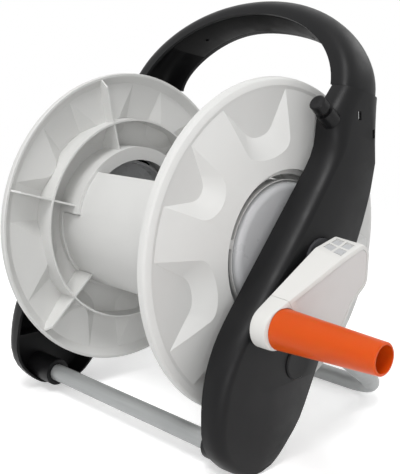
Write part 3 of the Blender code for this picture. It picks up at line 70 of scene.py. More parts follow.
CLEARANCE = 0.0003
RUNNING_CLEARANCE = 0.0004
OVERRUN = 0.010
MERGE = 1e-6
WIDE_STEPS = 96
GRIP_STEPS = 64
ROUND_STEPS = 32
SMALL_STEPS = 16
CORNER_STEP = 7.0
RIM_RADIUS = 0.160
FLOOR_GAP = 0.025
AXLE_HEIGHT = RIM_RADIUS + FLOOR_GAP
FLOOR_Z = -AXLE_HEIGHT
FOOT_PROUD = 0.0015
TOE_Z = FLOOR_Z + FOOT_PROUD
FRAME_INNER_X = 0.136
FRAME_DEPTH = 0.030
FRAME_OUTER_X = FRAME_INNER_X + FRAME_DEPTH
FRAME_TOP_TUCK = 0.007
FRAME_TOE_TUCK = 0.003
FRAME_WALL = 0.003
FRAME_SOLE = 0.006
RIB_THICKNESS = 0.002
FRAME_RIBS = (-0.120, -0.030, 0.060)
FRAME_FRONT = ((0.0730, 0.1770, 0.0), (0.0270, 0.1270, 0.040), (0.0270, 0.0940, 0.050),
               (-0.1180, -0.0780, 0.110))
FRAME_TOE = ((-0.1180, 0.0315, 0.045), (-0.0865, 0.0, 0.040), (-0.0500, 0.0, 0.046))
FRAME_REAR = ((-0.0150, -0.1490, 0.060), (0.0815, 0.0500, 0.250), (0.1094, 0.1770, 0.0))
SEAM_FRONT = (0.050, 0.152)
SEAM_REAR = (0.100, 0.137)
SHOULDER_SHARES = (0.30, 0.42, 0.53, 0.63, 0.72, 0.80, 0.87, 0.925, 0.965, 0.990, 1.0)
SHOULDER_STEPS_IN = (0.0, 0.0003, 0.0011, 0.0024, 0.0042, 0.0066, 0.0096, 0.0130, 0.0168,
                     0.0208, 0.0250)
SHOULDER_DEPTH = 0.050
SHOULDER_SCALES = (0.45, 0.20)
SHOULDER_Z = (0.080, 0.137)
TOE_TAPER = 0.0085
TOE_TAPER_Z = (-0.130, -0.040)
TOE_REACH_SHARE = 0.96
STATION_STEP = 0.009
TOE_STATIONS = (0.0, 0.001, 0.0025, 0.005, 0.009, 0.014, 0.020, 0.027, 0.036, 0.048)
HANDLE_TUCK = 0.008
HANDLE_OUTER = (FRAME_OUTER_X - HANDLE_TUCK, 0.0975)
HANDLE_FRONT_EDGE = (FRAME_INNER_X, 0.0847)
HANDLE_EDGE_TUCK = 0.015
HANDLE_REAR_EDGE = (FRAME_INNER_X - HANDLE_EDGE_TUCK, 0.0645)
HANDLE_SPRING_Z = 0.137
HANDLE_FRONT_Y = (0.0425, 0.092)
HANDLE_REAR_Y = (0.1005, 0.119)
HANDLE_LEAN = (0.009, -0.005)
HAUNCH_POWER = 1.5
HANDLE_WALL = 0.003
HANDLE_STATIONS = 56
COVER_END_ANGLE = 37.0
COVER_THICKNESS = 0.003
COVER_GAP = 0.0005
COVER_CROWN = 0.10
COVER_SCREW_ANGLES = (53.0, 127.0)
COVER_SCREW_RADIUS = 0.0021
COVER_POST_RADIUS = 0.0045
COVER_POST_SINK = 0.0015
COVER_SCREW_SHARE = 0.6
COVER_SHARES = (0.0, 0.12, 0.5, 0.88, 1.0)
COVER_BACK_CROWN = 0.8
HANDLE_OPEN_REACH = 0.35
HANDLE_DIP = 12.0
HANDLE_OVERRUN_ANGLE = 2.0
TUBE_RADIUS = 0.009
TUBE_WALL = 0.0012
FRONT_TUBE_ANGLE = -61.1
FRONT_TUBE_GAP = 0.0172
FRONT_SOCKET_PROUD = 0.015
FRONT_SOCKET_X = FRAME_INNER_X - FRONT_SOCKET_PROUD
FRONT_SOCKET_DEPTH = 0.020
FRONT_SOCKET_END_X = FRAME_INNER_X + FRONT_SOCKET_DEPTH
SOCKET_WALL = 0.005
STAND_BAR_Y = 0.150
STAND_LEG_OFFSET = 0.008
STAND_LEG_X = FRAME_INNER_X + STAND_LEG_OFFSET
STAND_BEND_RADIUS = 0.048
STAND_ENTRY_YZ = (0.020, -0.077)
STAND_INSERTION = 0.040
STAND_COLLAR = 0.006
BEND_STEPS = 14
BOSS_CAP_YZ = (-0.026, -0.091)
BOSS_CAP_RADIUS = 0.016
BOSS_CAP_HEIGHT = 0.0035
BOSS_CAP_RECESS = 0.0016
BOSS_CAP_CHAMFER = 0.0012
BOSS_CAP_CROWN = 0.0040
PAD_LENGTH = 0.014
PAD_DEPTH = 0.013
PAD_RECESS = 0.0030
PAD_Y = -0.069
SLOT_SIZE = (0.0045, 0.0080)
SLOT_DEPTH = 0.010
SLOTS_YZ = ((0.060, 0.124), (0.0815, 0.106))
PEG_OFFSET = 0.014
PEG_BASE = (FRAME_INNER_X + PEG_OFFSET, 0.033, 0.120)
PEG_TILT = 38.5
PEG_RADIUS = 0.0085
PEG_NECK_RADIUS = 0.0062
PEG_HEAD_RADIUS = 0.0078
PEG_BASE_LENGTH = 0.015
PEG_NECK_LENGTH = 0.004
PEG_LENGTH = 0.029
PEG_DIMPLE_RADIUS = 0.004
PEG_EDGE = 0.001
DRUM_RADIUS = 0.078
DRUM_WALL = 0.0024
DRUM_INNER = DRUM_RADIUS - DRUM_WALL
DRUM_WINDOW_ANGLE = 48.5
DRUM_SPLIT_ANGLE = -90.0
DRUM_WINDOW_OVERLAP = 3.0
FLANGE_WALL = 0.003
FLANGE_GAP = 0.009
OPENING_STEP = 0.001
OPENING_RADIUS = DRUM_RADIUS - OPENING_STEP
OPENING_X = FRAME_INNER_X - FLANGE_GAP
DISH_DEPTH = 0.018
DISH_BULGE = 0.0012
RIM_X = OPENING_X - DISH_DEPTH
RIM_THICKNESS = 0.005
BAND_WIDTH = 0.011
BAND_RISE = 0.0033
BAND_RADIUS = RIM_RADIUS - BAND_WIDTH
BAND_X = RIM_X + BAND_RISE
WEB_DEPTH = 0.006
WEB_WIDTH = 0.011
WEB_X = OPENING_X - WEB_DEPTH
WEB_BACK_X = WEB_X - FLANGE_WALL
WEB_HOLE_RADIUS = OPENING_RADIUS - WEB_WIDTH
COLLAR_LENGTH = 0.032
COLLAR_END_X = WEB_X - COLLAR_LENGTH
COLLAR_WALL = 0.003
COLLAR_RADIUS = DRUM_INNER - CLEARANCE
COLLAR_LIP = 0.0025
COLLAR_LIP_RADIUS = WEB_HOLE_RADIUS + OPENING_STEP
COLLAR_WING_PROUD = 0.003
COLLAR_WING = (11.0, 169.0)
RIB_ROOT_SHARE = 0.5
RING_RIB_SHARE = 0.542
RING_RIB_DEPTH = 0.014
RING_RIB_X = RIM_X - RING_RIB_DEPTH
FLANGE_RIB = 0.002
FLANGE_RIB_DEPTH = 0.013
FLANGE_RIB_X = RIM_X - FLANGE_RIB_DEPTH
FLANGE_RIB_COUNT = 6
FLANGE_RIB_START = 17.8
POCKET_COUNT = 8
POCKET_START = 33.5
POCKET_SHARES = tuple(-math.cos(math.pi * i / 12) for i in range(13))
POCKET_OVERLAP = 0.004
SMALL_POCKET = {"half": 11.0, "narrowing": 5.0, "mouth_shares": (0.514, 0.736),
                "floor_shares": (0.347, 0.486)}
LARGE_POCKET = {"half": 16.0, "narrowing": 7.0, "mouth_shares": (0.611, 0.819),
                "floor_shares": (0.417, 0.556)}
SHAFT_RADIUS = 0.011
HUB_GAP = 0.001
HUB_NOSE = 0.005
HUB_NOSE_RADIUS = 0.018
HUB_NOSE_FOOT = 0.006
HUB_EDGE = 0.0055
HUB_EDGE_WIDTH = 0.0075
HUB_SKIRT = 0.023
HUB_WALL = 0.0025
HUB_TUBE_LENGTH = 0.031
HUB_TUBE_RADIUS = 0.0165
BUSH_WALL = 0.0036
BUSH_RADIUS = SHAFT_RADIUS + RUNNING_CLEARANCE + BUSH_WALL
BUSH_FLANGE_RADIUS = 0.019
BUSH_SEAT_DEPTH = 0.001
BUSH_SEAT_X = FRAME_OUTER_X - BUSH_SEAT_DEPTH
AXLE_BOSS_WALL = 0.0055
AXLE_BOSS_SINK = 0.0015
AXLE_BOSS_PROUD = 0.0015
AXLE_BOSS_X = FRAME_INNER_X - AXLE_BOSS_PROUD
ARM_GAP = 0.006
ARM_BACK_X = FRAME_OUTER_X + ARM_GAP
ARM_HUB_DEPTH = 0.027
ARM_GRIP_DEPTH = 0.019
ARM_END_RADIUS = 0.0185
GRIP_YZ = (-0.077, -0.043)
CRANK_RADIUS = Vector(GRIP_YZ).length
ARM_CORNERS = ((-0.0156, 0.0134, 0.012), (0.0156, 0.0202, 0.010), (0.0276, 0.0092, 0.012),
               (0.0282, -0.0220, 0.014), (0.0100, -0.0375, 0.006))
ARM_HEEL = (-0.002, 0.014)
ARM_DRAFT_SHARE = 0.40
ARM_DRAFT_RUN_SHARE = 0.27
ARM_TOE_REACH = 0.0752
ARM_EDGE = 0.0030
ARM_BACK_EDGE = 0.0015
EDGE_SHARE = 0.3
ARM_SEAM = 0.016
ARM_BORDER = 0.0045
FACE_MARGIN = 0.006
FACE_RECESS = 0.0020
FACE_THICKNESS = 0.0014
CRANK_SPIGOT_RADIUS = 0.008
CRANK_SPIGOT_LENGTH = 0.0165
SPIGOT_END_X = ARM_BACK_X + CRANK_SPIGOT_LENGTH
CRANK_SCREW_RADIUS = 0.0025
CRANK_SCREW_HEAD_RADIUS = 0.0055
CRANK_SCREW_WEB = 0.003
VENT_SIZES = (0.0085, 0.0088)
VENT_PITCHES = (0.0108, 0.0112)
VENT_DEPTH = 0.0016
VENT_SHARES = (0.52, 0.50)
GRIP_LENGTH = 0.0995
GRIP_STEP = 0.0007
GRIP_BASE_RADIUS = ARM_END_RADIUS - GRIP_STEP
GRIP_END_RADIUS = 0.0133
GRIP_WALL = 0.0021
GRIP_FLOOR = 0.026
GRIP_SEAT_DEPTH = 0.0010
GRIP_SEAT_MARGIN = 0.0006
GRIP_EDGE = 0.0008
PIN_RADIUS = 0.005
PIN_DEPTH = 0.0135
BLACK = "black_plastic"
SOFT_BLACK = "soft_black_plastic"
PALE_GREY = "pale_grey_plastic"
SILVER = "silver_plastic"
WHITE = "white_plastic"
PANEL_GREY = "panel_grey_plastic"
ORANGE = "orange_plastic"
TUBE_GREY = "painted_steel"
RUBBER = "rubber"
STEEL = "steel"
DARK_PLASTIC = "dark_plastic"
# The handle's section, as (across, up) shares of its depth and height
HANDLE_SECTION = (
    (0.0, 0.0), (0.0, 0.25), (0.0, 0.42), (0.012, 0.56), (0.03, 0.67), (0.07, 0.785),
    (0.13, 0.87), (0.21, 0.935), (0.30, 0.972), (0.40, 0.993), (0.50, 1.0), (0.60, 0.997),
    (0.70, 0.98), (0.79, 0.945), (0.87, 0.885), (0.93, 0.80), (0.97, 0.70), (0.99, 0.59),
    (1.0, 0.45), (1.0, 0.25), (1.0, 0.0),
)
# The flange's rolled rim, as (x past the rim, depth below it), and the lip on its hose side
RIM_ROLL = ((-0.0020, 0.0002), (0.0006, 0.0009), (0.0022, 0.0026), (0.0033, 0.0052),
            (0.0038, 0.0080))
RIM_LIP = ((0.0, 0.0040), (-0.0008, 0.0032), (-0.0010, 0.0010), (-0.0002, 0.0002))
HUB_EDGE_STEPS = 6
# Thickness of the darker plates on the vent floors, which paint the shade in the recesses
VENT_SHADE_PLATE = 0.0005
WEB_SLOTS = 3
WEB_SLOT_START = 17.0
WEB_BRIDGE = 7.0
WEB_SLOT_RADII = (0.0672, 0.0722)
WEB_SLOT_STEPS = 14
LAND_LINES = 4
STRAIGHT_HALF_ANGLE = 89.5
SHARP_ANGLE = 32.0
FLANGE_SHARP_ANGLE = 16.0

# Camera, lamps as (place, aim, size, power), and the floor
LENS = 64.5
CAMERA_PLACE = (0.6264, -0.5894, 0.1763)
CAMERA_YAW = 136.2
CAMERA_PITCH = -11.93
LAMPS = {
    "key": ((0.5, -0.9, 2.1), (0.0, 0.0, 0.2), (0.8, 0.8), 27.0),
    "fill": ((1.5, -1.5, 0.7), (0.0, 0.0, 0.2), (1.0, 1.0), 10.0),
    "rear": ((0.3, 1.6, 1.4), (0.0, 0.0, 0.25), (1.2, 0.8), 6.0),
}
ROOM_WHITE = (1.0, 1.0, 1.0, 1.0)
ROOM_LIGHT = 0.46
FLOOR_SIZE = 12.0
FLOOR_DROP = 0.0006
FLOOR_FINISH = {"Base Color": (0.86, 0.86, 0.86, 1.0), "Roughness": 0.85,
                "Specular IOR Level": 0.1}
FLOOR_NEAR = 0.45
FLOOR_FAR = 1.3
FLOOR_LIFT = 0.45

# Colour, roughness, scale and depth of the grain, strength of the clouds, specular level
PLASTICS = {
    BLACK: ((0.0080, 0.0080, 0.0086), 0.40, 1500.0, 0.00003, 0.10, 0.17),
    SOFT_BLACK: ((0.0070, 0.0070, 0.0072), 0.55, 1100.0, 0.00006, 0.12, 0.14),
    RUBBER: ((0.012, 0.012, 0.012), 0.85, 900.0, 0.00010, 0.15, 0.2),
    PALE_GREY: ((0.665, 0.665, 0.652), 0.42, 1300.0, 0.00002, 0.012, 0.30),
    SILVER: ((0.50, 0.505, 0.515), 0.30, 2400.0, 0.00002, 0.03, 0.6),
    WHITE: ((0.67, 0.665, 0.645), 0.38, 1300.0, 0.00002, 0.012, 0.30),
    PANEL_GREY: ((0.64, 0.62, 0.61), 0.46, 1800.0, 0.00005, 0.02, 0.4),
    ORANGE: ((0.62, 0.078, 0.004), 0.36, 1200.0, 0.00003, 0.04, 0.22),
    DARK_PLASTIC: ((0.05, 0.05, 0.055), 0.48, 1200.0, 0.00005, 0.10, 0.45),
}
# The grip's wall is thin enough to let some light through
GLOW = {"Subsurface Weight": 0.35, "Subsurface Radius": (1.0, 0.12, 0.02),
        "Subsurface Scale": 0.006}
# Noises as (scale, detail, roughness, stretch). A plastic's grain has its own scale, and its
# roughness spreads below and above the one in the table
PLASTIC_CLOUDS = (14.0, 3.0)
PLASTIC_GLOSS = (60.0, 4.0)
PLASTIC_GRAIN = (2.0, 0.6)
PLASTIC_SPREAD = (0.05, 0.06)
METALS = {
    TUBE_GREY: {
        "colour": (0.36, 0.37, 0.37), "shades": (0.94, 1.06), "rough": (0.33, 0.46),
        "tone": (220.0, 3.0, 0.5, (0.04, 1.0, 1.0)), "gloss": (90.0, 5.0),
        "grain": (900.0, 2.0), "depth": 0.00003, "values": {"Metallic": 0.35}},
    STEEL: {
        "colour": (0.55, 0.55, 0.56), "shades": (0.90, 1.05), "rough": (0.24, 0.38),
        "tone": (500.0, 2.0, 0.5, (0.06, 1.0, 1.0)), "values": {"Metallic": 1.0}},
}
NOISE_SPAN = (0.3, 0.7)

# Solids that keep their shape, by the finish they get
DRESSED = {
    STEEL: ("crank_screw", "grip_pin"),
    RUBBER: ("inlet_seal", "right_foot_pad", "left_foot_pad"),
    DARK_PLASTIC: ("right_axle_bush", "left_axle_bush", "crank_shaft", "reel_spindle",
                   "hose_outlet", "outlet_nut", "inlet_elbow", "inlet_connector"),
}

MATERIALS = {}
MADE = []


class Graph:
    """Short way to add shader nodes. A setting is a property, an input or what feeds it."""

    def __init__(self, tree):
        self.nodes = tree.nodes
        self.links = tree.links

    def add(self, kind, *sources, **settings):
        node = self.nodes.new("ShaderNode" + kind)
        for i, source in enumerate(sources):
            self.links.new(source, node.inputs[i])
        for key, value in settings.items():
            if hasattr(node, key):
                setattr(node, key, value)
            elif isinstance(value, bpy.types.NodeSocket):
                self.links.new(value, node.inputs[key.replace("_", " ")])
            else:
                node.inputs[key.replace("_", " ")].default_value = value
        return node


def material_graph(name):
    material = bpy.data.materials.new(name)
    material.use_nodes = True
    MATERIALS[name] = material
    graph = Graph(material.node_tree)
    return graph, graph.nodes["Principled BSDF"]


def set_inputs(node, values):
    for key, value in values.items():
        node.inputs[key].default_value = value


def noise(graph, scale, detail, rough=0.55, stretch=(1.0, 1.0, 1.0)):
    """Noise over the piece's own coordinates, in metres."""
    where = graph.add("TexCoord").outputs["Object"]
    spread = graph.add("Mapping", Vector=where, Scale=stretch).outputs["Vector"]
    made = graph.add("TexNoise", Vector=spread, Scale=scale, Detail=detail, Roughness=rough)
    return made.outputs["Fac"]


def tint(graph, source, colour, shades):
    """Colour that runs from a dark to a light shade over the noise."""
    made = graph.add("ValToRGB", Fac=source)
    for stop, place, factor in zip(list(made.color_ramp.elements), NOISE_SPAN, shades):
        stop.position = place
        stop.color = (*(min(1.0, part * factor) for part in colour), 1.0)
    return made.outputs["Color"]


def coat(name, colour, shades, tone, rough, gloss=None, grain=None, depth=0.0, values=()):
    """A finish with a noise each for tone, gloss and grain, given as noise() takes it."""
    graph, shader = material_graph(name)
    patches = noise(graph, *tone)
    polish = graph.add("MapRange", Value=noise(graph, *gloss) if gloss else patches,
                       From_Min=NOISE_SPAN[0], From_Max=NOISE_SPAN[1], To_Min=rough[0],
                       To_Max=rough[1])
    graph.links.new(tint(graph, patches, colour, shades), shader.inputs["Base Color"])
    graph.links.new(polish.outputs["Result"], shader.inputs["Roughness"])
    if grain:
        bump = graph.add("Bump", Height=noise(graph, *grain), Distance=depth)
        graph.links.new(bump.outputs["Normal"], shader.inputs["Normal"])
    set_inputs(shader, dict(values))


def make_materials():
    """Moulded plastics with clouds and grain, satin paint on drawn tube, and bare steel."""
    for name, (colour, rough, grain, depth, cloud, specular) in PLASTICS.items():
        values = {"Specular IOR Level": specular, **(GLOW if name == ORANGE else {})}
        spread = (rough - PLASTIC_SPREAD[0], rough + PLASTIC_SPREAD[1])
        coat(name, colour, (1 - cloud, 1 + cloud), PLASTIC_CLOUDS, spread, PLASTIC_GLOSS,
             (grain, *PLASTIC_GRAIN), depth, values)
    for name, finish in METALS.items():
        coat(name, **finish)


def link(name, bm, side=1):
    """An object from a bmesh, mirrored in X when side is -1."""
    if side < 0:
        bmesh.ops.scale(bm, vec=(-1.0, 1.0, 1.0), verts=bm.verts)
    bmesh.ops.recalc_face_normals(bm, faces=bm.faces)
    mesh = bpy.data.meshes.new(name)
    bm.to_mesh(mesh)
    bm.free()
    made = bpy.data.objects.new(name, mesh)
    bpy.context.scene.collection.objects.link(made)
    return made


def piece(name, bm, body, slot, side=1):
    made = link(name + "_skin", bm, side)
    made["node"], made["body"], made["slot"] = name, body, slot
    MADE.append(made)
    return made


def boolean(target, name, bm, side=1, operation="DIFFERENCE"):
    """Adds or cuts the bmesh, whose bodies don't touch each other, as a modifier."""
    tool = link(f"{target.name}_{name}", bm, side)
    tool.hide_render = True
    modifier = target.modifiers.new(name, "BOOLEAN")
    modifier.operation = operation
    modifier.solver = "EXACT"
    modifier.object = tool
    return tool


def polar(x, radius, angle):
    turn = math.radians(angle)
    return Vector((x, -radius * math.cos(turn), radius * math.sin(turn)))


def arc_loops(section, angles, side=1):
    """A section of (x, radius) points at each angle, mirrored front to rear when side is -1."""
    return [[polar(x, r, a if side > 0 else 180.0 - a) for x, r in section] for a in angles]


def add_loft(bm, loops, ring=False):
    """Skins loops of the same number of points. A ring closes on its first loop."""
    rows = [[bm.verts.new(point) for point in loop] for loop in loops]
    pairs = list(zip(rows, rows[1:]))
    if ring:
        pairs.append((rows[-1], rows[0]))
    count = len(rows[0])
    for first, second in pairs:
        for i in range(count):
            j = (i + 1) % count
            bm.faces.new((first[i], first[j], second[j], second[i]))
    if not ring:
        bm.faces.new(rows[0])
        bm.faces.new(rows[-1])


def lofted(loops, ring=False):
    bm = bmesh.new()
    add_loft(bm, loops, ring)
    return bm


def append(bm, fresh):
    """Moves the geometry of one bmesh into another."""
    scratch = bpy.data.meshes.new("scratch")
    fresh.to_mesh(scratch)
    fresh.free()
    bm.from_mesh(scratch)
    bpy.data.meshes.remove(scratch)


def add_turned(bm, profile, matrix=None, steps=ROUND_STEPS):
    """Spins a closed profile of (x, radius) points about the X axis."""
    fresh = bmesh.new()
    verts = [fresh.verts.new((x, -radius, 0.0)) for x, radius in profile]
    edges = []
    for i, (x, radius) in enumerate(profile):
        j = (i + 1) % len(profile)
        if radius or profile[j][1]:
            edges.append(fresh.edges.new((verts[i], verts[j])))
    bmesh.ops.spin(fresh, geom=verts + edges, cent=(0, 0, 0), axis=(-1, 0, 0),
                   angle=math.tau, steps=steps, use_merge=True)
    bmesh.ops.remove_doubles(fresh, verts=fresh.verts, dist=MERGE)
    bmesh.ops.recalc_face_normals(fresh, faces=fresh.faces)
    if matrix:
        bmesh.ops.transform(fresh, matrix=matrix, verts=fresh.verts)
    append(bm, fresh)


def turned(profile, matrix=None, steps=ROUND_STEPS):
    bm = bmesh.new()
    add_turned(bm, profile, matrix, steps)
    return bm


def rod_profile(start, end, radius):
    return [(start, 0.0), (start, radius), (end, radius), (end, 0.0)]


def add_rod(bm, start, end, radius, matrix=None, steps=ROUND_STEPS):
    add_turned(bm, rod_profile(start, end, radius), matrix, steps)


def beside(yz):
    """Matrix that moves a piece from the axle's line to another one."""
    return Matrix.Translation((0.0, *yz))


def along(origin, direction):
    """Matrix that takes +X to the direction and the origin to the given point."""
    turn = Vector((1.0, 0.0, 0.0)).rotation_difference(Vector(direction))
    return Matrix.Translation(Vector(origin)) @ turn.to_matrix().to_4x4()


def add_box(bm, centre, size, turn=None):
    matrix = Matrix.Translation(Vector(centre)) @ (turn or Matrix.Identity(4))
    matrix = matrix @ Matrix.Diagonal((*size, 1.0))
    bmesh.ops.create_cube(bm, size=1.0, matrix=matrix)


def cut_off(bm, point, normal, sides=(0,)):
    """Removes what lies beyond the plane and closes the cut, or one on each side in X."""
    geom = list(bm.verts) + list(bm.edges) + list(bm.faces)
    result = bmesh.ops.bisect_plane(bm, geom=geom, plane_co=Vector(point),
                                    plane_no=Vector(normal), clear_outer=True)
    edges = [item for item in result["geom_cut"] if isinstance(item, bmesh.types.BMEdge)]
    for side in sides:
        loop = [edge for edge in edges if not side or edge.verts[0].co.x * side > 0]
        bmesh.ops.edgeloop_fill(bm, edges=loop)


def rounded(corners):
    """Outline through (u, v, radius) corners, with each corner drawn as an arc."""
    outline = []
    count = len(corners)
    for i, (u, v, radius) in enumerate(corners):
        here = Vector((u, v))
        before = (Vector(corners[i - 1][:2]) - here).normalized()
        after = (Vector(corners[(i + 1) % count][:2]) - here).normalized()
        half = before.angle(after) / 2
        if radius == 0 or half > math.radians(STRAIGHT_HALF_ANGLE):
            outline.append(here)
            continue
        reach = radius / math.tan(half)
        centre = here + (before + after).normalized() * radius / math.sin(half)
        start = here + before * reach - centre
        sweep = math.pi - 2 * half
        turn = math.copysign(sweep, start.cross(here + after * reach - centre))
        steps = max(1, round(math.degrees(sweep) / CORNER_STEP))
        for k in range(steps + 1):
            spun = start.copy()
            spun.rotate(Matrix.Rotation(turn * k / steps, 2))
            outline.append(centre + spun)
    return outline


def inset(outline, distance):
    """Moves a counter-clockwise outline inwards by the distance."""
    moved = []
    for i, here in enumerate(outline):
        before = (here - outline[i - 1]).normalized()
        after = (outline[(i + 1) % len(outline)] - here).normalized()
        left = Vector((-before.y, before.x)) + Vector((-after.y, after.x))
        moved.append(here + left * (2 * distance / left.length_squared))
    return moved


def blend(pair, share):
    return pair[0] + (pair[1] - pair[0]) * share


def front_tube_yz():
    radius = RIM_RADIUS + FRONT_TUBE_GAP + TUBE_RADIUS
    return polar(0.0, radius, FRONT_TUBE_ANGLE).yz


def seam_normal():
    run = Vector(SEAM_REAR) - Vector(SEAM_FRONT)
    return Vector((0.0, -run.y, run.x)).normalized()


def frame_outline():
    """Side view of the frame as (y, z), drawn past the handle seam."""
    toe = [(y, TOE_Z + height, radius) for y, height, radius in FRAME_TOE]
    return rounded([*FRAME_FRONT, *toe, *FRAME_REAR])


def frame_span(outline, z):
    """Front and rear edge of the outline at a height."""
    found = []
    for i, (y, height) in enumerate(outline):
        last_y, last_z = outline[i - 1]
        if (last_z - z) * (height - z) <= 0 and last_z != height:
            found.append(last_y + (y - last_y) * (z - last_z) / (height - last_z))
    return min(found), max(found)


def frame_outer(z):
    if z > 0:
        return FRAME_OUTER_X - FRAME_TOP_TUCK * (z / SEAM_FRONT[1]) ** 2
    return FRAME_OUTER_X - FRAME_TOE_TUCK * (z / AXLE_HEIGHT) ** 2


def level(z, span):
    """How far a height has risen through a span of heights, from 0 to 1."""
    return min(max((z - span[0]) / (span[1] - span[0]), 0.0), 1.0)


def frame_section(outline, z, wall):
    """Level cut through the frame, with a round shoulder along each outer edge.

    Towards the toe the front wall gets shallower and comes further forward.
    """
    front, rear = frame_span(outline, min(max(z, TOE_Z + MERGE), outline[0].y - MERGE))
    front += wall
    rear -= wall
    inner = FRAME_INNER_X - (OVERRUN if wall else 0.0)
    reach = frame_outer(z) - wall - FRAME_INNER_X
    most = min(1.0, (rear - front) / SHOULDER_DEPTH)
    rise = level(z, SHOULDER_Z)
    front_scale, rear_scale = (most * blend((scale, 1.0), rise) for scale in SHOULDER_SCALES)
    taper = TOE_TAPER * (1 - level(z, TOE_TAPER_Z))
    front -= taper * TOE_REACH_SHARE
    near = [(inner if wall else inner + taper, front)]
    far = [(inner, rear)]
    steps = zip(SHOULDER_SHARES, SHOULDER_STEPS_IN)
    for share, step in steps:
        near.append((FRAME_INNER_X + blend((taper, reach), share), front + step * front_scale))
        far.append((FRAME_INNER_X + share * reach, rear - step * rear_scale))
    crown = (FRAME_INNER_X + reach, (front + rear) / 2)
    return [Vector((x, y, z)) for x, y in near + [crown] + far[::-1]]


def frame_stations(low, high):
    toe = [TOE_Z + height for height in TOE_STATIONS]
    count = math.ceil((high - toe[-1]) / STATION_STEP)
    even = [blend((toe[-1], high), (i + 1) / count) for i in range(count)]
    margin = STATION_STEP / 4
    inside = [z for z in toe + even if low + margin < z < high - margin]
    return [low] + inside + [high]


def frame_cavity(outline):
    """Hollows between the cross ribs, open towards the reel."""
    bm = bmesh.new()
    half_rib = RIB_THICKNESS / 2
    lows = [TOE_Z + FRAME_SOLE] + [z + half_rib for z in FRAME_RIBS]
    highs = [z - half_rib for z in FRAME_RIBS] + [outline[0].y - half_rib]
    for low, high in zip(lows, highs):
        add_loft(bm, [frame_section(outline, z, FRAME_WALL) for z in frame_stations(low, high)])
    normal = seam_normal()
    below = Vector((0.0, *SEAM_FRONT)) - normal * FRAME_WALL
    cut_off(bm, below, normal)
    return bm


def stand_direction():
    """Direction of a stand leg, from its frame down to the bar on the floor."""
    entry = Vector((0.0, *STAND_ENTRY_YZ))
    bar = Vector((0.0, STAND_BAR_Y, FLOOR_Z + TUBE_RADIUS))
    return (bar - entry).normalized()


def stand_end():
    entry = Vector((STAND_LEG_X, *STAND_ENTRY_YZ))
    return entry - stand_direction() * STAND_INSERTION


def frame_bosses():
    bm = bmesh.new()
    boss = BUSH_RADIUS + CLEARANCE + AXLE_BOSS_WALL
    add_rod(bm, AXLE_BOSS_X, BUSH_SEAT_X - AXLE_BOSS_SINK, boss)
    socket = TUBE_RADIUS + CLEARANCE + SOCKET_WALL
    end = FRONT_SOCKET_END_X + FRAME_WALL
    add_rod(bm, FRONT_SOCKET_X, end, socket, beside(front_tube_yz()))
    length = STAND_INSERTION + STAND_COLLAR + FRAME_WALL
    place = along(stand_end() - stand_direction() * FRAME_WALL, stand_direction())
    leg_socket = TUBE_RADIUS + CLEARANCE + FRAME_WALL
    add_rod(bm, 0.0, length, leg_socket, place)
    return bm


def peg_place():
    tilt = math.radians(PEG_TILT)
    return along(PEG_BASE, (0.0, -math.cos(tilt), math.sin(tilt)))


def frame_bores(side):
    bm = bmesh.new()
    bore = BUSH_RADIUS + CLEARANCE
    seat = BUSH_FLANGE_RADIUS + CLEARANCE
    far = FRAME_OUTER_X + OVERRUN
    add_turned(bm, [(AXLE_BOSS_X - OVERRUN, 0.0), (AXLE_BOSS_X - OVERRUN, bore),
                    (BUSH_SEAT_X, bore), (BUSH_SEAT_X, seat), (far, seat), (far, 0.0)])
    tube = TUBE_RADIUS + CLEARANCE
    start = FRONT_SOCKET_X - OVERRUN
    add_rod(bm, start, FRONT_SOCKET_END_X, tube, beside(front_tube_yz()))
    length = STAND_INSERTION + STAND_COLLAR + OVERRUN
    add_rod(bm, -CLEARANCE, length, tube, along(stand_end(), stand_direction()))
    recess = boss_cap_x() - CLEARANCE
    add_rod(bm, recess, far, BOSS_CAP_RADIUS + CLEARANCE, beside(BOSS_CAP_YZ))
    pad_x = (FRAME_INNER_X + frame_outer(FLOOR_Z)) / 2
    pad_size = (PAD_LENGTH + 2 * CLEARANCE, PAD_DEPTH + 2 * CLEARANCE, 2 * PAD_RECESS)
    add_box(bm, (pad_x, PAD_Y, TOE_Z), pad_size)
    for y, z in SLOTS_YZ:
        add_box(bm, (frame_outer(z), y, z), (2 * SLOT_DEPTH, *SLOT_SIZE))
    if side > 0:
        add_rod(bm, 0.0, PEG_LENGTH, PEG_RADIUS + CLEARANCE, peg_place())
    return bm


def side_frame(name, parent, side):
    outline = frame_outline()
    stations = frame_stations(TOE_Z, outline[0].y)
    bm = lofted([frame_section(outline, z, 0.0) for z in stations])
    cut_off(bm, (0.0, *SEAM_FRONT), seam_normal())
    frame = piece(name, bm, parent, BLACK, side)
    boolean(frame, "cavity", frame_cavity(outline), side)
    boolean(frame, "bosses", frame_bosses(), side, "UNION")
    boolean(frame, "bores", frame_bores(side), side)


def boss_cap_x():
    return frame_outer(BOSS_CAP_YZ[1]) - BOSS_CAP_RECESS


def boss_cap(name, parent, side):
    """Round cap over the screw that holds a stand leg."""
    base = boss_cap_x()
    top = base + BOSS_CAP_HEIGHT
    edge = top - BOSS_CAP_CHAMFER
    profile = [(base, 0.0), (base, BOSS_CAP_RADIUS), (edge, BOSS_CAP_RADIUS),
               (top, BOSS_CAP_RADIUS - BOSS_CAP_CHAMFER),
               (top, BOSS_CAP_RADIUS - BOSS_CAP_CROWN), (edge, 0.0)]
    piece(name, turned(profile, beside(BOSS_CAP_YZ)), parent, BLACK, side)


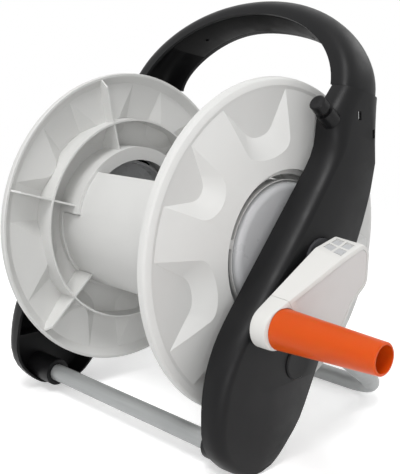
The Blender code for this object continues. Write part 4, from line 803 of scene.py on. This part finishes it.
def parking_peg(name, parent):
    neck = PEG_BASE_LENGTH + PEG_NECK_LENGTH
    edge = PEG_EDGE
    profile = [(0.0, 0.0), (0.0, PEG_RADIUS), (PEG_BASE_LENGTH, PEG_RADIUS),
               (PEG_BASE_LENGTH, PEG_NECK_RADIUS), (neck, PEG_NECK_RADIUS),
               (neck, PEG_HEAD_RADIUS), (PEG_LENGTH - edge, PEG_HEAD_RADIUS),
               (PEG_LENGTH, PEG_HEAD_RADIUS - edge), (PEG_LENGTH, PEG_DIMPLE_RADIUS),
               (PEG_LENGTH - edge, 0.0)]
    piece(name, turned(profile, peg_place()), parent, BLACK)


def arch(axes, angle):
    turn = math.radians(angle)
    return Vector((axes[0] * math.cos(turn), HANDLE_SPRING_Z + axes[1] * math.sin(turn)))


def handle_point(angle, across, up):
    """Point of the handle: across runs front to rear, up runs inner to outer face."""
    front = arch(HANDLE_FRONT_EDGE, angle)
    rear = arch(HANDLE_REAR_EDGE, angle)
    inner = front + (rear - front) * across
    place = inner + (arch(HANDLE_OUTER, angle) - inner) * up
    share = (place.y - HANDLE_SPRING_Z) / HANDLE_OUTER[1]
    front_y = blend(HANDLE_FRONT_Y, share)
    haunch = max(0.0, math.sin(math.radians(2 * min(angle, 180.0 - angle)))) ** HAUNCH_POWER
    rear_y = blend(HANDLE_REAR_Y, share) + blend(HANDLE_LEAN, up) * haunch
    return Vector((place.x, front_y + (rear_y - front_y) * across, place.y))


def handle_depth(angle):
    return (handle_point(angle, 1.0, 0.5) - handle_point(angle, 0.0, 0.5)).length


def handle_height(angle, across):
    return (handle_point(angle, across, 1.0) - handle_point(angle, across, 0.0)).length


def handle_cavity(angle):
    """Section of the channel inside the handle, running out through the inner face."""
    side = HANDLE_WALL / handle_depth(angle)
    loop = []
    for across, up in HANDLE_SECTION:
        shifted = side + across * (1 - 2 * side)
        crown = 1 - HANDLE_WALL / handle_height(angle, across)
        lifted = up * crown if up else -HANDLE_OPEN_REACH
        loop.append(handle_point(angle, shifted, lifted))
    return loop


def handle_angles():
    span = 180.0 + 2 * HANDLE_DIP
    return [span * i / HANDLE_STATIONS - HANDLE_DIP for i in range(HANDLE_STATIONS + 1)]


def handle_shell(name, parent):
    """Channel-shaped arch from one side frame to the other, open on its inner face."""
    angles = handle_angles()
    outer = [[handle_point(a, across, up) for across, up in HANDLE_SECTION] for a in angles]
    bm = lofted(outer)
    normal = seam_normal()
    seat = Vector((0.0, *SEAM_FRONT)) + normal * CLEARANCE
    cut_off(bm, seat, -normal, (-1, 1))
    shell = piece(name, bm, parent, BLACK)
    past = 2 * HANDLE_DIP + HANDLE_OVERRUN_ANGLE
    wider = [-past] + angles + [180.0 + past]
    boolean(shell, "channel", lofted([handle_cavity(a) for a in wider]))
    posts = bmesh.new()
    holes = bmesh.new()
    for angle in COVER_SCREW_ANGLES:
        place, length = cover_screw(angle)
        start = COVER_THICKNESS + 2 * CLEARANCE
        end = length - COVER_POST_SINK
        add_rod(posts, start, end, COVER_POST_RADIUS, place, SMALL_STEPS)
        reach = length * COVER_SCREW_SHARE
        add_rod(holes, 0.0, reach, COVER_SCREW_RADIUS, place, SMALL_STEPS)
    boolean(shell, "posts", posts, operation="UNION")
    boolean(shell, "post_holes", holes)


def cover_screw(angle):
    """Place of a screw post, square to the grip cover at its foot, and its reach."""
    foot = handle_point(angle, 0.5, 0.0)
    along_cover = (handle_point(angle, 1.0, 0.0) - foot).normalized()
    rise = handle_point(angle, 0.5, 1.0) - foot
    rise -= along_cover * rise.dot(along_cover)
    return along(foot, rise.normalized()), rise.length


def cover_loop(angle):
    """Section of the grip cover: a thin lid with a crowned face."""
    side = (HANDLE_WALL + COVER_GAP) / handle_depth(angle)
    lift = COVER_THICKNESS / handle_height(angle, 0.5)
    outer = []
    inner = []
    for share in COVER_SHARES:
        across = side + share * (1 - 2 * side)
        crown = COVER_CROWN * (1 - (2 * share - 1) ** 4) * math.sin(math.radians(angle))
        outer.append(handle_point(angle, across, -crown))
        inner.append(handle_point(angle, across, lift - crown * COVER_BACK_CROWN))
    return outer + inner[::-1]


def grip_cover(name, parent):
    first, last = COVER_END_ANGLE, 180.0 - COVER_END_ANGLE
    angles = [first] + [angle for angle in handle_angles() if first < angle < last] + [last]
    cover = piece(name, lofted([cover_loop(a) for a in angles]), parent, SOFT_BLACK)
    holes = bmesh.new()
    for angle in COVER_SCREW_ANGLES:
        place, _ = cover_screw(angle)
        add_rod(holes, -OVERRUN, OVERRUN, COVER_SCREW_RADIUS, place, SMALL_STEPS)
    boolean(cover, "screw_holes", holes)


def front_tube(name, parent):
    end = FRONT_SOCKET_END_X - CLEARANCE
    bore = TUBE_RADIUS - TUBE_WALL
    profile = [(-end, bore), (-end, TUBE_RADIUS), (end, TUBE_RADIUS), (end, bore)]
    piece(name, turned(profile, beside(front_tube_yz())), parent, TUBE_GREY)


def stand_path():
    """Centre line of the bent stand tube, with the direction at each point."""
    down = stand_direction()
    corner = Vector((STAND_LEG_X, STAND_BAR_Y, FLOOR_Z + TUBE_RADIUS))
    centre = corner - down * STAND_BEND_RADIUS - Vector((STAND_BEND_RADIUS, 0.0, 0.0))
    half = [(stand_end(), down)]
    for i in range(BEND_STEPS + 1):
        turn = math.radians(90.0 * i / BEND_STEPS)
        spoke = Vector((math.cos(turn), 0.0, 0.0)) + down * math.sin(turn)
        heading = Vector((-math.sin(turn), 0.0, 0.0)) + down * math.cos(turn)
        half.append((centre + spoke * STAND_BEND_RADIUS, heading))
    mirror = Vector((-1.0, 1.0, 1.0))
    other = [(point * mirror, Vector((heading.x, -heading.y, -heading.z)))
             for point, heading in half[::-1]]
    return half + other


def stand_tube(name, parent):
    """Bent tube whose legs plug into the side frames."""
    down = stand_direction()
    flat = Vector((1.0, 0.0, 0.0)).cross(down)
    outer = []
    inner = []
    for point, heading in stand_path():
        out = flat.cross(heading)
        for loops, radius in ((outer, TUBE_RADIUS), (inner, TUBE_RADIUS - TUBE_WALL)):
            spokes = [math.tau * k / ROUND_STEPS for k in range(ROUND_STEPS)]
            loops.append([point + (flat * math.cos(a) + out * math.sin(a)) * radius
                          for a in spokes])
    piece(name, lofted(outer + inner[::-1], ring=True), parent, TUBE_GREY)


def dish_x(radius):
    """Outer face of the flange at a radius."""
    if radius >= BAND_RADIUS:
        slope = (BAND_X - RIM_X) / (RIM_RADIUS - BAND_RADIUS)
        return BAND_X - (radius - BAND_RADIUS) * slope
    share = (BAND_RADIUS - radius) / (BAND_RADIUS - OPENING_RADIUS)
    bulge = 4 * DISH_BULGE * share * (1 - share)
    return BAND_X + (OPENING_X - BAND_X) * share + bulge


def dish_radius(share):
    """Radius at a share of the dish's width, from the rim band inwards."""
    return blend((BAND_RADIUS, OPENING_RADIUS), share)


def inside_wall(radius, share):
    """X inside the flange's wall, at a share of its thickness from the hose side."""
    return dish_x(radius) - FLANGE_WALL * (1 - share)


def pockets():
    """Centre angle and kind of each pocket, small and large in turn."""
    pitch = 360.0 / POCKET_COUNT
    for i in range(POCKET_COUNT):
        yield POCKET_START + pitch * i, LARGE_POCKET if i % 2 else SMALL_POCKET


def pocket_half(kind, grow):
    """Half of a pocket's angle, with its side walls grown outwards."""
    return kind["half"] + math.degrees(grow / BAND_RADIUS)


def pocket_point(kind, end, share, grow):
    """Radius and angle on the round inner end of a pocket's mouth or floor, side to side.

    Grow moves it outwards, for the wall behind the pocket.
    """
    side, bottom = (dish_radius(reach) for reach in kind[f"{end}_shares"])
    bottom -= grow
    half = pocket_half(kind, grow)
    if end == "mouth":
        return side - (side - bottom) * math.sqrt(1 - share ** 2), half * share
    narrowing = kind["narrowing"]
    half -= narrowing
    corner = half - narrowing * (side - bottom) / (BAND_RADIUS - side)
    turned_in = blend((corner * 2, half), abs(share))
    return bottom + (side - bottom) * share ** 2, turned_in * share


def pocket_column(centre, kind, share, grow):
    """One line of the dish across a pocket, from the rim band to the mouth of the hub."""
    edge = centre + pocket_half(kind, grow) * share
    floor_radius, floor_angle = pocket_point(kind, "floor", share, grow)
    mouth_radius, mouth_angle = pocket_point(kind, "mouth", share, grow)
    return [(BAND_X, BAND_RADIUS, edge), (BAND_X, floor_radius, centre + floor_angle),
            (dish_x(mouth_radius), mouth_radius, centre + mouth_angle),
            (OPENING_X, OPENING_RADIUS, edge)]


def land_column(angle, side_radius):
    """One line of the dish between pockets. The side radius is where a pocket's side ends."""
    middle = (BAND_RADIUS + side_radius) / 2
    return [(dish_x(radius), radius, angle)
            for radius in (BAND_RADIUS, middle, side_radius, OPENING_RADIUS)]


def dish_columns(grow):
    """Lines round the dish. Each pocket's edge has two, so that its side wall can flare."""
    columns = []
    kinds = list(pockets())
    widen = math.degrees(grow / BAND_RADIUS)
    for i, (centre, kind) in enumerate(kinds):
        half = kind["half"] + widen
        side = dish_radius(kind["mouth_shares"][0])
        columns.append(land_column(centre - half, side))
        columns += [pocket_column(centre, kind, share, grow) for share in POCKET_SHARES]
        columns.append(land_column(centre + half, side))
        after, next_kind = kinds[(i + 1) % len(kinds)]
        gap = (after - centre) % 360.0 - next_kind["half"] - widen - half
        for k in range(1, LAND_LINES + 1):
            share = k / (LAND_LINES + 1)
            ends = (side, dish_radius(next_kind["mouth_shares"][0]))
            columns.append(land_column(centre + half + gap * share, blend(ends, share)))
    return columns


def flange_section(front, back, wing):
    """Closed section of the flange on one pair of lines: dish, rim, web and collar."""
    edge = front[-1][2]
    inner = COLLAR_RADIUS - COLLAR_WALL
    lip = COLLAR_END_X + COLLAR_LIP
    reach = DRUM_RADIUS + COLLAR_WING_PROUD if wing else COLLAR_RADIUS
    tube = OPENING_RADIUS + FLANGE_WALL
    rim_back = RIM_X - RIM_THICKNESS
    loop = [(RIM_X + x, RIM_RADIUS - drop, edge) for x, drop in RIM_ROLL] + front
    loop += [(x, radius, edge) for x, radius in (
        (WEB_X, OPENING_RADIUS), (WEB_X, WEB_HOLE_RADIUS), (WEB_BACK_X, WEB_HOLE_RADIUS),
        (WEB_BACK_X, inner), (lip, inner), (lip, COLLAR_LIP_RADIUS),
        (COLLAR_END_X, COLLAR_LIP_RADIUS), (COLLAR_END_X, reach), (WEB_BACK_X, reach),
        (WEB_BACK_X, tube))]
    loop.append((dish_x(tube) - FLANGE_WALL, tube, edge))
    loop += [(x - FLANGE_WALL, radius, angle) for x, radius, angle in back[-2::-1]]
    loop += [(rim_back + x, RIM_RADIUS - drop, edge) for x, drop in RIM_LIP]
    return [polar(*point) for point in loop]


def in_wing(angle):
    """Whether the collar stands out over the drum here, beside the hose window."""
    return COLLAR_WING[0] <= angle % 360.0 <= COLLAR_WING[1]


def flange_body():
    """Dish with flared pockets, even walls behind them, the web and the drum's collar."""
    lines = list(zip(dish_columns(0.0), dish_columns(FLANGE_WALL)))
    states = [in_wing(front[-1][2]) for front, _ in lines]
    sections = []
    for i, line in enumerate(lines):
        if states[i] and not states[i - 1]:
            sections.append(flange_section(*line, False))
        sections.append(flange_section(*line, states[i]))
        if states[i] and not states[(i + 1) % len(lines)]:
            sections.append(flange_section(*line, False))
    bm = lofted(sections, ring=True)
    bmesh.ops.remove_doubles(bm, verts=bm.verts, dist=MERGE)
    return bm


def flange_ribs():
    """Ring rib and thin radial webs on the hose side."""
    half_rib = FLANGE_RIB / 2
    low = dish_radius(RING_RIB_SHARE) - half_rib
    high = low + FLANGE_RIB
    section = [(RING_RIB_X, low), (RING_RIB_X, high), (inside_wall(high, RIB_ROOT_SHARE), high),
               (inside_wall(low, RIB_ROOT_SHARE), low)]
    ring = turned(section, steps=WIDE_STEPS)
    foot = OPENING_RADIUS + FLANGE_WALL / 2
    rim = RIM_RADIUS - FLANGE_WALL / 2
    chamfer = rim - BAND_RADIUS
    shape = [(FLANGE_RIB_X, foot)]
    shape += [(inside_wall(radius, RIB_ROOT_SHARE), radius)
              for radius in (foot, (foot + BAND_RADIUS) / 2, BAND_RADIUS, rim)]
    shape += [(FLANGE_RIB_X + chamfer, rim), (FLANGE_RIB_X, BAND_RADIUS)]
    spokes = bmesh.new()
    for i in range(FLANGE_RIB_COUNT):
        angle = FLANGE_RIB_START + 360.0 * i / FLANGE_RIB_COUNT
        turn = math.radians(angle)
        aside = Vector((0.0, math.sin(turn), math.cos(turn))) * half_rib
        add_loft(spokes, [[polar(x, r, angle) + aside * sign for x, r in shape]
                          for sign in (-1, 1)])
    return ring, spokes


def pocket_blocks():
    """Pockets grown to the middle of their walls. They trim what the ribs would push through."""
    bm = bmesh.new()
    grow = FLANGE_WALL / 2
    for centre, kind in pockets():
        loops = []
        for end, x in (("floor", BAND_X - grow), ("mouth", None), ("mouth", OPENING_X)):
            arc = [pocket_point(kind, end, share, grow) for share in POCKET_SHARES]
            half = pocket_half(kind, grow)
            arc += [(BAND_RADIUS + POCKET_OVERLAP, half), (BAND_RADIUS + POCKET_OVERLAP, -half)]
            loops.append([polar(dish_x(r) if x is None else x, r, centre + a)
                          for r, a in arc])
        add_loft(bm, loops)
    return bm


def web_slots():
    """Long arc slots through the web, between the hub cover and the drum's collar."""
    bm = bmesh.new()
    near, far = WEB_BACK_X - OVERRUN, WEB_X + OVERRUN
    low, high = WEB_SLOT_RADII
    section = [(near, low), (near, high), (far, high), (far, low)]
    pitch = 360.0 / WEB_SLOTS
    for i in range(WEB_SLOTS):
        start = WEB_SLOT_START + pitch * i
        sweep = pitch - WEB_BRIDGE
        angles = [start + sweep * j / WEB_SLOT_STEPS for j in range(WEB_SLOT_STEPS + 1)]
        add_loft(bm, arc_loops(section, angles))
    return bm


def flange(name, parent, side):
    disc = piece(name, flange_body(), parent, PALE_GREY, side)
    boolean(disc, "web_slots", web_slots(), side)
    for label, bm in zip(("ring_rib", "spokes"), flange_ribs()):
        rib = boolean(disc, label, bm, side, "UNION")
        boolean(rib, "clearing", pocket_blocks(), side)


def drum_shell(name, parent, side):
    """Half of the drum. Its window edge stops at the collars, its foot at the webs."""
    half_gap = math.degrees(CLEARANCE / 2 / DRUM_RADIUS)
    start = DRUM_SPLIT_ANGLE + half_gap
    sweep = DRUM_WINDOW_ANGLE - start
    reach = WEB_BACK_X - CLEARANCE
    steps = round(WIDE_STEPS * sweep / 360.0)
    shape = [(-reach, DRUM_INNER), (-reach, DRUM_RADIUS), (reach, DRUM_RADIUS),
             (reach, DRUM_INNER)]
    angles = [start + sweep * i / steps for i in range(steps + 1)]
    shell = piece(name, lofted(arc_loops(shape, angles, side)), parent, PALE_GREY)
    cuts = bmesh.new()
    low = (COLLAR_WING[0] if side > 0 else 180.0 - COLLAR_WING[1]) - half_gap
    high = DRUM_WINDOW_ANGLE + DRUM_WINDOW_OVERLAP
    for end in (-1, 1):
        near = (COLLAR_END_X - CLEARANCE) * end
        far = (reach + OVERRUN) * end
        thin = DRUM_INNER - OVERRUN / 2
        wide = DRUM_RADIUS + OVERRUN / 2
        block = [(near, thin), (near, wide), (far, wide), (far, thin)]
        add_loft(cuts, arc_loops(block, (low, (low + high) / 2, high), side))
    boolean(shell, "window_corners", cuts)


def hub_cover(name, parent, side):
    """Silver disc in the mouth of a flange, with the sleeve that grips the shaft."""
    bore = SHAFT_RADIUS + CLEARANCE
    rim = WEB_HOLE_RADIUS - HUB_GAP
    inner_rim = rim - HUB_WALL
    nose = OPENING_X + HUB_NOSE
    skirt = OPENING_X - HUB_SKIRT
    back = OPENING_X - HUB_WALL
    tube_end = OPENING_X - HUB_TUBE_LENGTH
    turns = [math.pi / 2 * i / HUB_EDGE_STEPS for i in range(HUB_EDGE_STEPS + 1)]
    edge = [(OPENING_X - HUB_EDGE * (1 - math.cos(turn)),
             rim - HUB_EDGE_WIDTH * (1 - math.sin(turn))) for turn in turns]
    profile = [
        (nose, bore), (nose, HUB_NOSE_RADIUS), (OPENING_X, HUB_NOSE_RADIUS + HUB_NOSE_FOOT),
        *edge, (skirt, rim),
        (skirt, inner_rim), (back - HUB_EDGE, inner_rim), (back, rim - HUB_EDGE_WIDTH),
        (back, HUB_TUBE_RADIUS), (tube_end, HUB_TUBE_RADIUS), (tube_end, bore),
    ]
    piece(name, turned(profile, steps=WIDE_STEPS), parent, SILVER, side)


def arm_front(y, z):
    """X of the arm's front face, which falls from the hub to the grip."""
    along_arm = Vector((y, z)).dot(Vector(GRIP_YZ)) / CRANK_RADIUS ** 2
    return ARM_BACK_X + ARM_HUB_DEPTH + (ARM_GRIP_DEPTH - ARM_HUB_DEPTH) * along_arm


def drafted(y, z):
    """Where an outline point lies on the front face: the upper wall leans back to it."""
    lengthwise = Vector(GRIP_YZ).normalized()
    upward = Vector((lengthwise.y, -lengthwise.x))
    lift = Vector((y, z)).dot(upward)
    rest = 1 - Vector((y, z)).dot(lengthwise) / CRANK_RADIUS
    share = ARM_DRAFT_SHARE * min(max(rest / ARM_DRAFT_RUN_SHARE, 0.0), 1.0)
    return Vector((y, z)) - upward * max(lift, 0.0) * share


def arm_outline():
    grip_y, grip_z = GRIP_YZ
    lower = grip_z - ARM_END_RADIUS
    toe = (grip_y - ARM_TOE_REACH, lower, ARM_END_RADIUS)
    heel_y, heel_radius = ARM_HEEL
    return rounded([toe, (heel_y, lower, heel_radius), *ARM_CORNERS[::-1]])


def arm_part(layers, seam, side=1):
    """Stacked copies of the outline, cut square to the arm at a distance from the grip.

    A layer is (inset, x, how far below the front), x None meaning the front. Side 1 keeps
    the part towards the hub.
    """
    outline = arm_outline()
    front = [drafted(y, z) for y, z in outline]
    loops = []
    for distance, x, below in layers:
        loop = inset(outline if x is not None else front, distance)
        loops.append([Vector((arm_front(y, z) - below if x is None else x, y, z))
                      for y, z in loop])
    bm = lofted(loops)
    grip = Vector((0.0, *GRIP_YZ))
    toward_hub = -grip.normalized()
    cut_off(bm, grip + toward_hub * seam, -toward_hub * side)
    return bm


def arm_layers():
    return [(ARM_BACK_EDGE, ARM_BACK_X, 0.0), (0.0, ARM_BACK_X + ARM_BACK_EDGE, 0.0),
            (0.0, None, ARM_EDGE), (ARM_EDGE * EDGE_SHARE, None, ARM_EDGE * EDGE_SHARE),
            (ARM_EDGE, None, 0.0)]


def crank_arm(name, parent):
    arm = piece(name, arm_part(arm_layers(), ARM_SEAM + CLEARANCE / 2), parent, WHITE)
    recess = [(ARM_BORDER, None, FACE_RECESS), (ARM_BORDER, None, -OVERRUN)]
    boolean(arm, "face_recess", arm_part(recess, ARM_SEAM + FACE_MARGIN))
    bore = CRANK_SPIGOT_RADIUS + CLEARANCE
    web = SPIGOT_END_X + CLEARANCE
    seat = web + CRANK_SCREW_WEB
    hole = CRANK_SCREW_RADIUS + CLEARANCE
    head = CRANK_SCREW_HEAD_RADIUS + CLEARANCE
    far = ARM_BACK_X + ARM_HUB_DEPTH + OVERRUN
    near = ARM_BACK_X - OVERRUN
    profile = [(near, 0.0), (near, bore), (web, bore), (web, hole), (seat, hole),
               (seat, head), (far, head), (far, 0.0)]
    boolean(arm, "hub_bore", turned(profile))
    boolean(arm, "vents", arm_vents())
    boolean(arm, "grip_seat", grip_seat())


def arm_vents(shade_plates=False):
    """Four shallow squares in the arm's upper wall beside the hub, or thin darker plates on
    their floors, which paint the shade in the recesses.
    """
    first = Vector(ARM_CORNERS[0][:2])
    second = Vector(ARM_CORNERS[1][:2])
    along_wall, up_wall = VENT_SHARES
    foot = first + (second - first) * along_wall
    head = drafted(*foot)
    back = Vector((ARM_BACK_X, *foot))
    front = Vector((arm_front(*head), *head))
    run = Vector((0.0, *(second - first))).normalized()
    out = (front - back).cross(run).normalized()
    across = run.cross(out)
    turn = Matrix((across, run, out)).transposed().to_4x4()
    bm = bmesh.new()
    across_pitch, along_pitch = VENT_PITCHES
    for i in (-0.5, 0.5):
        for j in (-0.5, 0.5):
            place = back + (front - back) * up_wall
            place += across * across_pitch * i
            place += run * along_pitch * j
            # Darker plates on the vent floors: painted shade in the recesses
            if shade_plates:
                place += out * (VENT_SHADE_PLATE / 2 - VENT_DEPTH)
                wide, high = (size - CLEARANCE for size in VENT_SIZES)
                add_box(bm, place, (wide, high, VENT_SHADE_PLATE), turn)
            else:
                add_box(bm, place, (*VENT_SIZES, 2 * VENT_DEPTH), turn)
    return bm


def grip_seat():
    """Flat round seat for the grip in the sloping front of the arm and its end cap."""
    radius = GRIP_BASE_RADIUS + GRIP_SEAT_MARGIN
    seat = grip_seat_x()
    return turned(rod_profile(seat, seat + OVERRUN, radius), beside(GRIP_YZ))


def crank_end_cap(name, parent):
    cap = piece(name, arm_part(arm_layers(), ARM_SEAM - CLEARANCE / 2, -1), parent, WHITE)
    boolean(cap, "grip_seat", grip_seat())
    bottom = grip_seat_x() - PIN_DEPTH
    hole = rod_profile(bottom, grip_seat_x() + OVERRUN, PIN_RADIUS + CLEARANCE)
    boolean(cap, "pin_hole", turned(hole, beside(GRIP_YZ)))


def crank_face(name, parent):
    margin = ARM_BORDER + CLEARANCE
    back = FACE_RECESS - CLEARANCE
    layers = [(margin, None, back), (margin, None, back - FACE_THICKNESS)]
    seam = ARM_SEAM + FACE_MARGIN + CLEARANCE
    piece(name, arm_part(layers, seam), parent, PANEL_GREY)


def grip_seat_x():
    return arm_front(*GRIP_YZ) - GRIP_SEAT_DEPTH


def grip_sleeve(name, parent):
    """Tapered hollow sleeve that turns on the pin."""
    base = grip_seat_x() + CLEARANCE
    end = base + GRIP_LENGTH
    floor = base + GRIP_FLOOR
    bore = PIN_RADIUS + RUNNING_CLEARANCE
    edge = GRIP_EDGE
    profile = [(base, bore), (base, GRIP_BASE_RADIUS), (end - edge, GRIP_END_RADIUS),
               (end, GRIP_END_RADIUS - edge),
               (end, GRIP_END_RADIUS - GRIP_WALL), (floor, GRIP_BASE_RADIUS - GRIP_WALL * 2),
               (floor, bore)]
    piece(name, turned(profile, beside(GRIP_YZ), GRIP_STEPS), parent, ORANGE)


def paint(mesh, slot, sharp):
    mesh.materials.clear()
    mesh.materials.append(MATERIALS[slot])
    mesh.shade_smooth()
    mesh.set_sharp_from_angle(angle=math.radians(sharp))


def settle(made):
    """Applies a piece's modifiers, gives it its finish and its place, and lets it ride."""
    graph = bpy.context.evaluated_depsgraph_get()
    mesh = bpy.data.meshes.new_from_object(made.evaluated_get(graph))
    made.modifiers.clear()
    made.data = mesh
    mesh.transform(Matrix.Translation(AXLE))
    paint(mesh, made["slot"], FLANGE_SHARP_ANGLE if "flange" in made["node"] else SHARP_ANGLE)
    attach(made, made["body"])
    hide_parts(made["node"])


def settle_all():
    bpy.context.view_layer.update()
    for made in MADE:
        settle(made)
    for tool in [obj for obj in bpy.data.objects if obj.hide_render and obj.type == "MESH"]:
        if "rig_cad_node" not in tool:
            bpy.data.objects.remove(tool)


def build_frame():
    for label, side in (("right", 1), ("left", -1)):
        side_frame(f"{label}_side_frame", "frame", side)
        boss_cap(f"{label}_stand_boss_cap", "frame", side)
    handle_shell("carry_handle_shell", "frame")
    grip_cover("carry_handle_cover", "frame")
    front_tube("front_tube", "frame")
    stand_tube("rear_stand_tube", "frame")
    parking_peg("hose_parking_peg", "frame")


def build_reel():
    for label, side in (("right", 1), ("left", -1)):
        flange(f"{label}_flange", "reel", side)
        hub_cover(f"{label}_hub_cover", "reel", side)
    drum_shell("drum_front_shell", "reel", 1)
    drum_shell("drum_rear_shell", "reel", -1)
    crank_arm("crank_arm", "reel")
    crank_end_cap("crank_end_cap", "reel")
    # Darker plates in the crank arm's vents: painted shade in the recesses
    vents = piece("crank_arm_vents", arm_vents(True), "reel", SILVER)
    vents["node"] = "crank_arm"
    crank_face("crank_face_panel", "reel")
    grip_sleeve("grip_sleeve", "grip")


def stage(name, data):
    """Adds an object that belongs to the room and not to the model."""
    made = bpy.data.objects.new(name, data)
    bpy.context.scene.collection.objects.link(made)
    return made


def make_lamps():
    for name, (place, aim, size, power) in LAMPS.items():
        data = bpy.data.lights.new(name, "AREA")
        data.shape = "RECTANGLE"
        data.size, data.size_y = size
        data.energy = power
        lamp = stage(name, data)
        lamp.location = place
        lamp.rotation_euler = (Vector(aim) - Vector(place)).to_track_quat("-Z", "Y").to_euler()


def shown(graph, lit, clean):
    """Shader that looks clean to the camera, mirrors and glass, and lights things as lit."""
    rays = graph.add("LightPath").outputs
    seen = rays["Is Camera Ray"]
    for ray in ("Is Glossy Ray", "Is Transmission Ray"):
        seen = graph.add("Math", seen, rays[ray], operation="MAXIMUM").outputs["Value"]
    return graph.add("MixShader", seen, lit, clean).outputs["Shader"]


def make_world():
    world = bpy.data.worlds.new("studio")
    bpy.context.scene.world = world
    world.use_nodes = True
    graph = Graph(world.node_tree)
    lit = graph.nodes["Background"]
    set_inputs(lit, {"Color": ROOM_WHITE, "Strength": ROOM_LIGHT})
    clean = graph.add("Background", Color=ROOM_WHITE)
    surface = shown(graph, lit.outputs[0], clean.outputs[0])
    graph.links.new(surface, graph.nodes["World Output"].inputs["Surface"])


def make_floor():
    """Pale floor that fades to white away from the object and keeps its shadow."""
    bm = bmesh.new()
    bmesh.ops.create_grid(bm, x_segments=1, y_segments=1, size=FLOOR_SIZE / 2)
    mesh = bpy.data.meshes.new("floor")
    bm.to_mesh(mesh)
    bm.free()
    floor = stage("floor", mesh)
    floor.location = (0.0, 0.0, -FLOOR_DROP)
    graph, shader = material_graph("floor")
    set_inputs(shader, FLOOR_FINISH)
    where = graph.add("TexCoord").outputs["Object"]
    reach = graph.add("VectorMath", where, operation="LENGTH").outputs["Value"]
    far = graph.add("MapRange", interpolation_type="SMOOTHSTEP", Value=reach,
                    From_Min=FLOOR_NEAR, From_Max=FLOOR_FAR).outputs["Result"]
    white = graph.add("Emission", Strength=1.0).outputs[0]
    lift = graph.add("Emission", Strength=FLOOR_LIFT).outputs[0]
    near = graph.add("AddShader", shader.outputs["BSDF"], lift).outputs[0]
    ground = graph.add("MixShader", far, near, white).outputs["Shader"]
    surface = shown(graph, shader.outputs["BSDF"], ground)
    graph.links.new(surface, graph.nodes["Material Output"].inputs["Surface"])
    mesh.materials.append(MATERIALS["floor"])


def make_camera():
    yaw, pitch = math.radians(CAMERA_YAW), math.radians(CAMERA_PITCH)
    ahead = Vector((math.cos(yaw) * math.cos(pitch), math.sin(yaw) * math.cos(pitch),
                    math.sin(pitch)))
    data = bpy.data.cameras.new("camera")
    data.lens = LENS
    camera = stage("camera", data)
    camera.location = AXLE + Vector(CAMERA_PLACE)
    camera.rotation_euler = ahead.to_track_quat("-Z", "Y").to_euler()
    bpy.context.scene.camera = camera


def main():
    bpy.context.scene.view_settings.view_transform = "Standard"
    make_camera()
    make_world()
    make_floor()
    make_lamps()
    make_materials()
    build_frame()
    build_reel()
    settle_all()
    for slot, nodes in DRESSED.items():
        for node in nodes:
            paint(frame["nodes"][node].data, slot, SHARP_ANGLE)


main()
